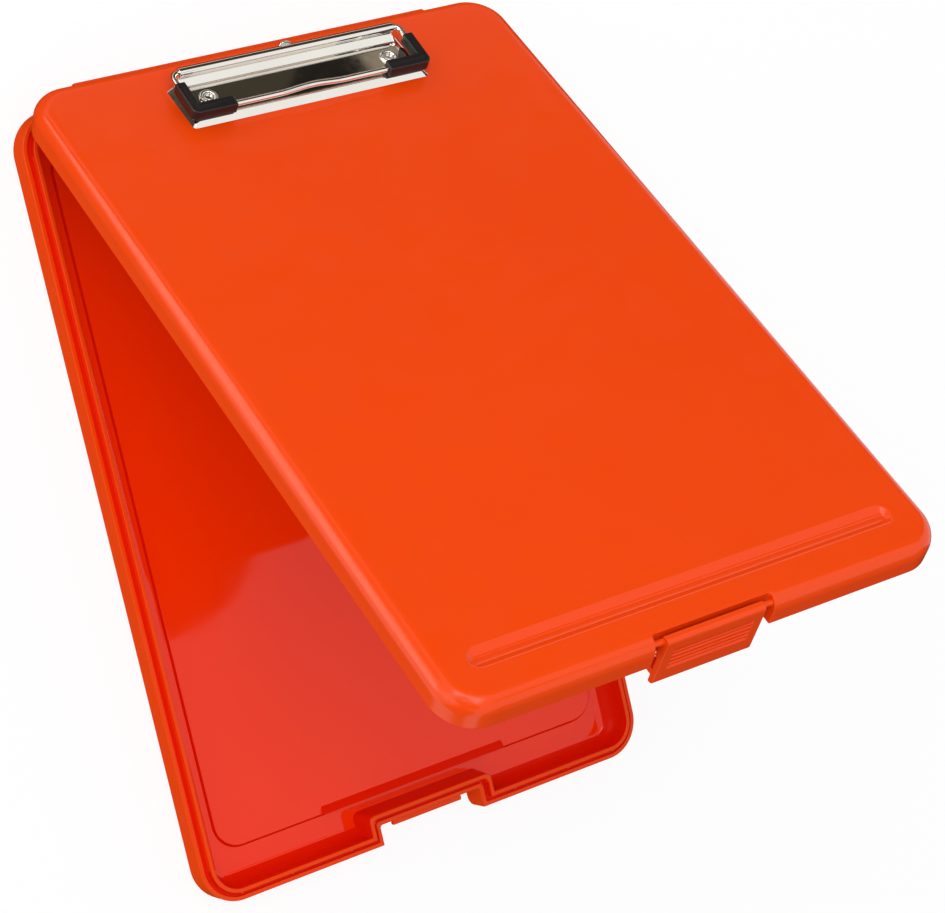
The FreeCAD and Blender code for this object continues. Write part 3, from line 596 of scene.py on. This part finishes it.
def groove_rings(s, profile, radius):
    """Rings of the pen groove; the profile's columns are end, front and rear inset and height."""
    narrowing, most = 0.6, 0.96
    end, front, rear, height = profile.T
    y = s.groove_from_front - s.depth / 2
    corners = box_corners(
        -s.groove_half, s.groove_half, y - s.groove_wide / 2, y + s.groove_wide / 2)
    half = (s.groove_wide - front - rear) / 2
    radii = np.repeat(np.minimum(radius - end * narrowing, half * most)[:, None], 4, axis=1)
    return outline_rings(corners, radii, np.stack([front, end, rear, end], axis=1), height, 12)


class CLIPBOX_OT_lid(bpy.types.Operator):
    """Builds the lid: skirt and top with their large round, notch, pen groove and knuckle"""

    bl_idname = "clipbox.lid"
    bl_label = "Lid"

    def execute(self, context):
        s = sizes()
        wall, under, bevel, flat = 2.6 * MM, s.lid_top - 2.4 * MM, 3.4 * MM, 1.0 * MM
        soft, inner_soft = 0.4 * MM, 0.8 * MM
        side, deep = 2.35 * MM, 6.4 * MM
        outer = round_path(
            [
                (s.lid_round + flat, s.lid_top, 0, 0), (0.0, s.lid_top, 0, 0),
                (0.0, s.lid_low, 0, 0), (wall, s.lid_low, side, deep),
                (wall, under - bevel, side, deep), (wall + bevel, under, side, deep),
                (wall + bevel + flat, under, side, deep),
            ],
            [0, s.lid_round, soft, soft, inner_soft, inner_soft, 0], steps=16)
        grids = [skin(notched_rings(s, s.lid_notch_half, s.lid_notch_back, outer))]

        # How far the pen groove's ends, front and rear have come in at shares of its depth; its
        # first ring lies outside, on the lid's top
        drop = np.array([0, 0, 0.03, 0.08, 0.11, 0.16, 0.4, 0.6, 0.74, 0.77, 0.79, 0.82, 0.9, 0.97, 1])
        spill = np.where(np.arange(len(drop)) == 0, -0.3 * MM, 0.0)
        end = np.interp(drop, [0, 0.11, 1], [0, 0.5, 2.6]) * MM
        front = np.interp(drop, [0, 0.08, 0.11, 1], [0, 0.15, 1.1, 3.9]) * MM
        rear = np.interp(drop, [0, 0.77, 0.79, 1], [0, 3.6, 4.0, 4.5]) * MM
        height = s.lid_top - drop * s.groove_deep
        pen = np.stack([spill + end, spill + front, spill + rear, height], axis=1)
        groove_round, shell, shell_half = 5.28 * MM, 2 * MM, 7.5 * MM
        grids.append(skin(groove_rings(s, pen, groove_round)))

        # The groove's ridge under the lid, and the middle knuckle
        y, long = s.groove_from_front - s.depth / 2, s.groove_half + shell
        below = s.lid_top - s.groove_deep - shell
        ridge = round_path(
            [(0.0, under), (0.0, below), (flat, below)], [0, 0.5 * MM, 0], steps=5,
            support=0.1 * MM)
        around = box_corners(-long, long, y - shell_half, y + shell_half)
        grids.append(skin(plain_rings(around, groove_round + shell, ridge)))
        knuckle, web_low, web_high, inside = 49.6 * MM, 15.3 * MM, 17.9 * MM, 1.3 * MM
        grids += barrel(s, -knuckle, knuckle, web_low, web_high, inside)
        make_piece("lid_shell", grids, "OrangeSatin", "lid", "lid", open_lid)
        return {"FINISHED"}


def latch_depth(x, z):
    """How far the latch's face is pushed in: a framed recess with four ribs standing in it.

    Each side of the recess is a smooth step of 0.6 mm, and a rib is a half round.
    """
    half, low, high, run = 19.5 * MM, 9.4 * MM, 20.4 * MM, 0.6 * MM
    middle, apart, rib_half = 14.9 * MM, 2.4 * MM, 0.55 * MM
    recess, rib_high = 0.9 * MM, 0.7 * MM

    def step(distance):
        t = np.clip(distance / run + 0.5, 0.0, 1.0)
        return t * t * (3 - 2 * t)

    inside = step(half - np.abs(x)) * step(z - low) * step(high - z)
    ribs = np.zeros_like(z)
    for share in (-1.5, -0.5, 0.5, 1.5):
        off = (z - middle - apart * share) / rib_half
        ribs = np.maximum(ribs, np.sqrt(np.clip(1 - off * off, 0.0, 1.0)))
    return inside * (recess - rib_high * ribs)


class CLIPBOX_OT_latch(bpy.types.Operator):
    """Builds the latch: its side profile carried along the hinge direction, face and two stubs"""

    bl_idname = "clipbox.latch"
    bl_label = "Latch"

    def execute(self, context):
        s = sizes()
        front = -s.depth / 2

        # The side profile in millimetres: how far behind the face, and how high
        top, face_low, face_high = s.lid_top / MM - 1.0, 8.0, 22.0
        corners = np.array([
            (0.0, face_low), (0.0, 0.8), (3.0, 0.8), (3.0, 4.6), (8.0, 4.6), (8.0, 7.5),
            (3.0, 7.5), (3.0, 14.6), (4.4, 14.6), (4.4, top), (0.0, top), (0.0, face_high)])
        rounds = np.array([0, 2.2, 0.5, 0.3, 1.6, 0.3, 0.3, 0.3, 0.3, 1.7, 2.45, 0])
        path = round_path(
            corners * MM + np.array([front, 0.0]), rounds * MM, steps=8, support=0.1 * MM)
        face = np.linspace(face_high, face_low, 160)[1:-1, None] * MM
        path = np.concatenate([path, np.concatenate([np.full_like(face, front), face], axis=1)])
        way = np.roll(path, -1, axis=0) - np.roll(path, 1, axis=0)
        way /= np.linalg.norm(way, axis=1)[:, None]
        normal = np.stack([-way[:, 1], way[:, 0]], axis=1)

        # Where its copies stand along the hinge, closest at the recess's sides and at the ends
        half, soft = 24.0 * MM, 0.25 * MM
        bend = np.linspace(0.0, math.pi / 2, 7)
        ends = half - soft + soft * np.sin(bend)
        shrink = soft * (1 - np.cos(bend))
        inner = np.concatenate([np.linspace(0, 18.9, 14), np.linspace(19.1, 20.1, 9), [21.5, 23.0]]) * MM
        x = np.concatenate([inner, ends])
        pull = np.concatenate([np.zeros(len(inner)), shrink])
        x, pull = np.concatenate([-x[:0:-1], x])[:, None], np.concatenate([pull[:0:-1], pull])[:, None]
        yz = path[None] + normal[None] * pull[..., None]
        on_face = (np.abs(path[:, 0] - front) < 1e-6) & (pull < 1e-9)
        push = np.where(on_face, latch_depth(x, path[None, :, 1] + 0 * x), 0.0)
        grid = np.stack([np.broadcast_to(x, push.shape), yz[..., 0] + push, yz[..., 1]], axis=2)

        stub, reach, tip, behind, high = 1.35 * MM, 30.4 * MM, 0.2 * MM, 3.2 * MM, 24.2 * MM
        pin = lathe(round_path(
            [(0.0, reach), (stub, reach), (stub, -reach), (0.0, -reach)], [0, tip, tip, 0], 3), 24)
        pin = np.stack([pin[..., 2], pin[..., 0] + front + behind, pin[..., 1] + high], axis=2)
        make_piece(
            "latch_shell", [skin(grid), skin(pin)], "OrangeSatin", "latch", "latch",
            open_lid, sharp=40.0)
        return {"FINISHED"}


def clip_pan(s, start):
    """The clip's pressed pan; its rear edge runs forward to start between its two ears."""
    y = s.depth / 2
    half, ear, front, rear = 60 * MM, 55.4 * MM, y - 45 * MM, y - 20 * MM
    top, flange, flat, slim_most = s.lid_top + PLATE_RISE, 3.4 * MM, 6.0 * MM, 4.2 * MM
    corners = np.array([
        (-half, front), (half, front), (half, rear), (ear, rear),
        (ear, start), (-ear, start), (-ear, rear), (-half, rear)])
    outside = round_path(
        [(0.0, s.lid_top), (flange, top), (flat, top)],
        [0, 0.9 * MM, 0], steps=8, support=0.1 * MM)
    inside = round_path(
        [(flat, top - SHEET), (flange + SHEET, top - SHEET), (SHEET, s.lid_top)],
        [0, 0.5 * MM, 0], steps=4, support=0.1 * MM)
    inset, height = np.concatenate([inside, outside]).T
    slim, still = np.minimum(inset, slim_most), np.zeros(len(inset))
    insets = np.stack([inset, slim, still, still, still, still, still, slim], axis=1)
    front_round = np.maximum(2.0 * MM - inset * 0.3, 0.3 * MM)
    radii = np.stack([front_round, front_round] + [still + 0.05 * MM] * 6, axis=1)
    return skin(outline_rings(corners, radii, insets, height, 10))


def clip_roll(s, start):
    """The clip's sheet folded up from the pan at start, and rolled round the wire.

    The sheet's middle goes level, round a fold of 1 mm, straight on to where it meets the circle
    about the roll's axis, and round that circle to its free edge.
    """
    roll_y, roll_z = s.depth / 2 - ROLL_AHEAD, s.lid_top + ROLL_RISE
    gap, bend, free_cosine, overlap = 0.09 * MM, 1.0 * MM, -0.44, 0.25 * MM
    mid = s.wire + gap + SHEET / 2
    low, fold = s.lid_top + PLATE_RISE - SHEET / 2, start + 2.6 * MM
    across, up = roll_y - fold, roll_z - low
    meet = math.atan2(up, across) - math.asin(mid / math.hypot(across, up)) - math.pi / 2
    free = 2 * math.pi - math.acos(free_cosine)
    a = np.linspace(-math.pi / 2, meet, 12)
    b = np.linspace(meet, free, 72)
    back = bend * math.tan((meet + math.pi / 2) / 2)
    centre = np.concatenate([
        [[start - overlap, low]],
        np.stack([fold - back + bend * np.cos(a), low + bend + bend * np.sin(a)], axis=1),
        np.stack([roll_y + mid * np.cos(b), roll_z + mid * np.sin(b)], axis=1)])
    angle = np.concatenate([[-math.pi / 2], a, b])
    out = np.stack([np.cos(angle), np.sin(angle)], axis=1)

    half, edge = 54.5 * MM, 0.12 * MM
    quarter = np.linspace(0.0, math.pi / 2, 5)
    thin_end = SHEET / 2 - edge * (1 - np.cos(quarter))
    x = np.concatenate([np.linspace(0.0, half - 4 * edge, 12), half - edge + edge * np.sin(quarter)])
    thin = np.concatenate([np.full(12, SHEET / 2), thin_end])
    x, thin = np.concatenate([-x[:0:-1], x]), np.concatenate([thin[:0:-1], thin])
    outer = centre[None] + out[None] * thin[:, None, None]
    inside = centre[None] - out[None] * thin[:, None, None]
    loop = np.concatenate([outer, inside[:, ::-1]], axis=1)
    rolled = np.concatenate([np.broadcast_to(x[:, None, None], loop.shape[:2] + (1,)), loop], axis=2)
    points, quads = skin(rolled)
    around = loop.shape[1]
    k = np.arange(len(centre) - 1)
    cap = np.stack([k, k + 1, around - 2 - k, around - 1 - k], axis=1)
    return points, np.concatenate([quads, cap, cap + (len(x) - 1) * around])


def clip_lug(s):
    """The clip's lug, a tab with round top corners that stands behind the roll."""
    half, rise, soft = 3.3 * MM, 0.8 * MM, 0.3 * MM
    mid = s.wire + 0.09 * MM + SHEET / 2
    low = s.lid_top + ROLL_RISE - SHEET
    high = s.lid_top + ROLL_RISE + mid + SHEET / 2 + rise
    run = round_path(
        [(soft, 0.0), (0.0, 0.0), (0.0, SHEET), (soft, SHEET)],
        [0, 0.25 * MM, 0.25 * MM, 0], steps=4, support=0.0)
    insets = np.repeat(run[:, :1], 4, axis=1)
    top_round = 2.97 * MM - run[:, 0]
    radii = np.stack([0 * top_round, 0 * top_round, top_round, top_round], axis=1)
    tab = outline_rings(box_corners(-half, half, low, high), radii, insets, run[:, 1], 12)
    behind = s.depth / 2 - ROLL_AHEAD + mid
    return skin(np.stack([tab[..., 0], behind + tab[..., 2], tab[..., 1]], axis=2))


class CLIPBOX_OT_clip_plate(bpy.types.Operator):
    """Builds the clip's plate: pressed pan, cove, rolled barrel and the lug behind it"""

    bl_idname = "clipbox.clip_plate"
    bl_label = "Clip plate"

    def execute(self, context):
        s = sizes()
        start = s.depth / 2 - 24.5 * MM
        make_piece(
            "clip_plate_sheet", [clip_pan(s, start), clip_roll(s, start), clip_lug(s)], "Chrome",
            "lid", "clip_plate", open_lid)
        return {"FINISHED"}


class CLIPBOX_OT_rivets(bpy.types.Operator):
    """Builds the two tubular rivets: rolled head, tube and clinched end, turned round their axis"""

    bl_idname = "clipbox.rivets"
    bl_label = "Rivets"

    def execute(self, context):
        s = sizes()
        place, y = 46 * MM, s.depth / 2 - 31 * MM

        # The half section in millimetres: radius and height, with the head above the plate
        low, top = s.lid_top / MM - 3.4, (s.lid_top + PLATE_RISE) / MM
        bore, tube_outside, clinch = 1.6, 2.4, 3.8
        section = np.array([
            (bore, low), (clinch, low), (clinch, low + 1.0), (tube_outside, low + 1.0),
            (tube_outside, top), (4.2, top), (4.05, top + 1.2), (2.85, top + 1.2),
            (2.35, top + 0.35), (2.1, top + 0.75), (bore, top + 0.75), (bore, low)])
        rounds = np.array([0, 0.4, 0.3, 0, 0, 0.15, 0.55, 0.45, 0.15, 0.2, 0.25, 0])
        turned = lathe(round_path(section * MM, rounds * MM, steps=6, support=0.02 * MM), 64)
        for side, x in (("left", -place), ("right", place)):
            moved = skin(turned + np.array([x, y, 0.0]))
            make_piece(
                f"rivet_{side}_eyelet", [moved], "Chrome", "lid", f"rivet_{side}",
                open_lid)
        return {"FINISHED"}


def bail_place(points):
    """From the bail drawn flat about the roll's axis to its place on the closed lid, then open.

    It tilts until its grips clear the clip's plate by 0.3 mm.
    """
    s = sizes()
    drop = ROLL_RISE - PLATE_RISE - GRIP_HALF - 0.3 * MM
    spot = np.array([0.0, s.depth / 2 - ROLL_AHEAD, s.lid_top + ROLL_RISE])
    return open_lid(turn(points, math.asin(drop / BAIL_REACH), (0.0, 0.0, 0.0)) + spot)


class CLIPBOX_OT_wire_bail(bpy.types.Operator):
    """Builds the wire bail: one round wire bent along a path, with a low thumb rise in its bar"""

    bl_idname = "clipbox.wire_bail"
    bl_label = "Wire bail"

    def execute(self, context):
        s = sizes()
        gap, bend, side, reach = 6 * MM, 3.3 * MM, BAIL_HALF, BAIL_REACH
        bar_half, rise_half, rise = 30 * MM, 17 * MM, 1.3 * MM
        corners = [
            (-gap, 0.0), (-side, 0.0), (-side, -reach), (side, -reach), (side, 0.0), (gap, 0.0)]
        flat = round_path(corners, [0, bend, bend, bend, bend, 0], steps=10, support=0.0)
        bar = np.linspace(-bar_half, bar_half, 61)
        middle = len(flat) // 2
        flat = np.concatenate([flat[:middle], np.stack([bar, 0 * bar - reach], axis=1), flat[middle:]])

        # The thumb rise is a whole wave of a cosine, in the bar alone
        wave = 0.5 + 0.5 * np.cos(np.pi * flat[:, 0] / rise_half)
        raised = (np.abs(flat[:, 0]) < rise_half) & (flat[:, 1] < -reach * 0.9)
        path = np.column_stack([flat, rise * np.where(raised, wave, 0.0)])

        # The wire's ends close over three points, from a tip of no radius
        closing, inwards = np.array([0.0, 0.7, 1.0]), np.array([0.25, 0.2, 0.08]) * MM
        inwards = np.outer(inwards, (1.0, 0.0, 0.0))
        path = np.concatenate([path[0] + inwards, path[1:-1], path[-1] - inwards[::-1]])
        radius = np.full(len(path), s.wire)
        radius[:3] *= closing
        radius[-3:] *= closing[::-1]
        make_piece(
            "wire_bail_round", [skin(tube(path, np.maximum(radius, 1e-6), 32))], "Chrome", "bail",
            "wire_bail", bail_place)
        return {"FINISHED"}


class CLIPBOX_OT_grips(bpy.types.Operator):
    """Builds the two corner grips: an L-shaped outline with soft edges and ribs along its top"""

    bl_idname = "clipbox.grips"
    bl_label = "Grips"

    def execute(self, context):
        half, beyond, high = 2.3 * MM, 2.9 * MM, GRIP_HALF
        wide, narrow, tip = BAIL_HALF + half, BAIL_HALF - half, BAIL_HALF - 19 * MM
        near, far, rear = -BAIL_REACH - beyond, -BAIL_REACH + beyond, -7.6 * MM
        corners = np.array([
            (tip, near), (wide, near), (wide, rear), (narrow, rear), (narrow, far), (tip, far)])

        # Up the side, and in over three fine grooves that leave ribs along the top
        soft, deep, sharp = 0.5 * MM, 0.32 * MM, 0.06 * MM
        outline = [(1.0 * MM, -high), (0.0, -high), (0.0, high)]
        for k in range(3):
            edge = (0.62 + 0.52 * k) * MM
            outline += [(edge, high), (edge + 0.04 * MM, high - deep),
                        (edge + 0.20 * MM, high - deep), (edge + 0.24 * MM, high)]
        outline.append((2.2 * MM, high))
        path = round_path(outline, [0, soft, soft] + [sharp] * 12 + [0], steps=3, support=0.0)

        # The ends' corners stay tight, the outer round shrinks and the inner round grows
        inset = path[:, 0]
        ends = np.minimum(0.3 * MM, (2.25 * MM - inset) * 0.8)
        outer = 3.0 * MM - inset
        inner = np.minimum(0.6 * MM + inset, 3.1 * MM - inset)
        radii = np.stack([ends, outer, ends, ends, inner, ends], axis=1)
        insets = np.repeat(path[:, :1], 6, axis=1)
        right = outline_rings(corners, radii, insets, path[:, 1], 8)
        for side, sign in (("left", -1), ("right", 1)):
            grid = skin(right * np.array([sign, 1.0, 1.0]))
            make_piece(
                f"grip_{side}_soft", [grid], "BlackRubber", "bail", f"grip_{side}",
                bail_place, sharp=50.0)
        return {"FINISHED"}


# Stage


def rays_that_see_white(tree):
    """1 for rays from the camera and for mirrored or refracted rays, else 0."""
    path = add_node(tree, "LightPath")
    seen = path.outputs["Is Camera Ray"]
    for kind in ("Is Glossy Ray", "Is Transmission Ray"):
        either = add_node(tree, "Math")
        either.operation = "MAXIMUM"
        tree.links.new(seen, either.inputs[0])
        tree.links.new(path.outputs[kind], either.inputs[1])
        seen = either.outputs[0]
    return seen


def blend(tree, factor, first, second, surface):
    """Mixes two shaders by a factor."""
    mix = add_node(tree, "MixShader")
    for source, socket in ((factor, "Fac"), (first.outputs[0], 1), (second.outputs[0], 2)):
        tree.links.new(source, mix.inputs[socket])
    tree.links.new(mix.outputs[0], surface)


def add_lamp(name, place, target, size, power):
    """A square lamp that faces its target."""
    lamp = bpy.data.lights.new(name, "AREA")
    lamp.shape = "RECTANGLE"
    lamp.size, lamp.size_y = size, size
    lamp.energy = power
    thing = add_object(name, lamp)
    thing.location = place
    thing.rotation_euler = (Vector(target) - Vector(place)).to_track_quat("-Z", "Y").to_euler()


def upright(bearing, distance, outline):
    """Corners of a card that stands square to a bearing, an angle in degrees from +X.

    The outline is in metres to the left of the bearing and up from the floor.
    """
    angle = math.radians(bearing)
    way = np.array([math.cos(angle), math.sin(angle)])
    outline = np.asarray(outline, float)
    flat = way * distance + outline[:, :1] * np.array([-way[1], way[0]])
    return np.column_stack([flat, outline[:, 1]])


def level(height, outline):
    """Corners of a card that lies level."""
    return np.column_stack([outline, np.full(len(outline), height)])


def add_sheet(name, corners, material):
    """One flat face of the stage."""
    mesh = bpy.data.meshes.new(name)
    mesh.from_pydata(corners, [], [tuple(range(len(corners)))])
    mesh.materials.append(material)
    sheet = add_object(name, mesh)
    return sheet


def add_card(name, tone, corners):
    """A card that only mirrored rays see: most are a studio's sides, as they show in polished metal; one
    is painted shade and one a painted reflection.
    """
    material = bpy.data.materials.new(name)
    tree, surface = fresh_tree(material)
    glow = add_node(tree, "Emission", {"Color": (*tone, 1.0)})
    tree.links.new(glow.outputs[0], surface)
    card = add_sheet(name, corners, material)
    card.visible_camera = False
    card.visible_diffuse = False
    card.visible_shadow = False


class CLIPBOX_OT_stage(bpy.types.Operator):
    """Sets up the pale floor, the soft studio light and the camera"""

    bl_idname = "clipbox.stage"
    bl_label = "Stage"

    def execute(self, context):
        scene = context.scene
        scene.view_settings.view_transform = "Standard"
        scene.world = bpy.data.worlds.new("Surroundings")
        tree, surface = fresh_tree(scene.world, "OutputWorld")
        white = (1.0, 1.0, 1.0, 1.0)
        light = add_node(tree, "Background", {"Color": white, "Strength": 0.66})
        blank = add_node(tree, "Background", {"Color": white})
        blend(tree, rays_that_see_white(tree), light, blank, surface)

        # The floor lies just below the box, and glows by 0.88 for the rays that see white
        material = bpy.data.materials.new("PaleFloor")
        tree, surface = fresh_tree(material)
        paper = add_node(tree, "BsdfDiffuse", {"Color": (*colours().backdrop, 1.0)})
        glow = add_node(tree, "Emission", {"Strength": 1.0})
        share = add_node(tree, "Math", {1: 0.88})
        share.operation = "MULTIPLY"
        tree.links.new(rays_that_see_white(tree), share.inputs[0])
        blend(tree, share.outputs[0], paper, glow, surface)
        floor_half, floor_high = 4.0, -0.2 * MM
        square = box_corners(-floor_half, floor_half, -floor_half, floor_half)
        add_sheet("floor", level(floor_high, square), material)

        # Each card's glow, and its place in metres
        cards = (
            ("rear_card", (0.055, 0.046, 0.033), upright(60.0, 1.90, box_corners(-1.4, 1.4, -0.1, 2.3))),
            ("black_card", (0.018, 0.015, 0.012), upright(
                60.0, 1.89, [(0.107, 0.05), (0.075, 0.05), (0.035, 0.13), (0.16, 0.13)])),
            ("pale_card", (0.29, 0.24, 0.185), upright(
                60.0, 1.88, [(0.075, 0.05), (-0.05, 0.05), (-0.05, 0.13), (0.035, 0.13)])),
            ("side_card", (0.065, 0.050, 0.034), upright(
                119.0, 1.90, box_corners(-0.45, 0.5, -0.1, 0.8))),
            ("front_card", (0.050, 0.042, 0.034), upright(
                -58.0, 0.82, box_corners(-0.6, 0.6, -0.1, 0.75))),
            ("corner_card", (0.060, 0.035, 0.020), upright(
                -135.0, 0.90, box_corners(-0.35, 0.35, -0.1, 0.9))),
            ("bright_card", (4.4, 3.8, 3.2), upright(
                146.0, 0.62, box_corners(-0.30, 0.30, 0.0, 0.25))),
            ("camera_card", (0.060, 0.035, 0.020), level(1.38, box_corners(-1.4, -0.3, -0.85, 0.70))),
            ("front_mat", (0.050, 0.035, 0.020), level(
                0.0, [(-0.265, -0.519), (0.583, 0.011), (0.859, -0.430), (0.011, -0.960)])),
            # Painted reflection: a dark red card with a round corner, standing for the lid's underside
            # mirrored in the tray's glossy floor
            ("lid_reflection_painted", (0.060, 0.020, 0.010), level(1.40, [
                (0.42, -0.06), (0.42, -0.32), (0.504, -0.320), (0.551, -0.314), (0.587, -0.298),
                (0.629, -0.252), (0.65, -0.211), (0.66, -0.06)])),
            # Painted shade: an orange-brown mat under the box that stands for the floor's shadow and
            # orange bounce, seen only in the box's gloss
            ("floor_shade_painted", (0.25, 0.05, 0.01), level(0.0, box_corners(-0.33, 0.33, -0.40, 0.42))),
        )
        for card in cards:
            add_card(*card)
        add_lamp("Key", place=(-0.5, 0.5, 1.6), target=(0.0, 0.0, 0.0), size=1.2, power=14.0)
        add_lamp("Fill", place=(-1.6, 0.2, 0.8), target=(0.0, 0.0, 0.05), size=1.0, power=3.0)

        # The camera's fit: focal length, shift and the photograph's width in pixels
        focal, across, down, wide, sensor = 2879.0, -2.4, 8.4, 945.0, 36.0
        camera = bpy.data.cameras.new("Camera")
        thing = scene.camera = add_object("Camera", camera)
        right = Vector((0.82610758, -0.22100852, 0.51836425))
        up = Vector((0.25849762, 0.96601189, -0.00009643))
        turned = Matrix((right, up, right.cross(up))).transposed()
        thing.matrix_world = Matrix.Translation((-0.61218, 0.15784, 1.16919)) @ turned.to_4x4()
        camera.sensor_width = sensor
        camera.lens = focal / wide * sensor
        camera.shift_x = across / wide
        camera.shift_y = down / wide
        camera.clip_start, camera.clip_end = 0.01, 50.0
        return {"FINISHED"}


class CLIPBOX_PT_panel(bpy.types.Panel):
    """Lists the sizes, the colours and the pieces"""

    bl_idname = "CLIPBOX_PT_panel"
    bl_label = "Clipboard Box"
    bl_space_type = "VIEW_3D"
    bl_region_type = "UI"
    bl_category = "Clipboard Box"

    def draw(self, context):
        layout = self.layout
        for group in (context.scene.clip_box_sizes, context.scene.clip_box_colours):
            box = layout.box()
            for name in group.__annotations__:
                box.prop(group, name)
        for operator in OPERATORS:
            layout.operator(operator.bl_idname)


OPERATORS = (
    CLIPBOX_OT_finishes,
    CLIPBOX_OT_tray,
    CLIPBOX_OT_lid,
    CLIPBOX_OT_latch,
    CLIPBOX_OT_clip_plate,
    CLIPBOX_OT_rivets,
    CLIPBOX_OT_wire_bail,
    CLIPBOX_OT_grips,
    CLIPBOX_OT_stage,
)
CLASSES = (BoxSizes, BoxColours, *OPERATORS, CLIPBOX_PT_panel)


def register():
    for cls in CLASSES:
        bpy.utils.register_class(cls)
    bpy.types.Scene.clip_box_sizes = PointerProperty(type=BoxSizes)
    bpy.types.Scene.clip_box_colours = PointerProperty(type=BoxColours)


def unregister():
    del bpy.types.Scene.clip_box_colours
    del bpy.types.Scene.clip_box_sizes
    for cls in reversed(CLASSES):
        bpy.utils.unregister_class(cls)


def main():
    register()
    for operator in OPERATORS:
        group, name = operator.bl_idname.split(".")
        getattr(getattr(bpy.ops, group), name)()
    bpy.context.view_layer.update()


if __name__ == "__main__":
    main()
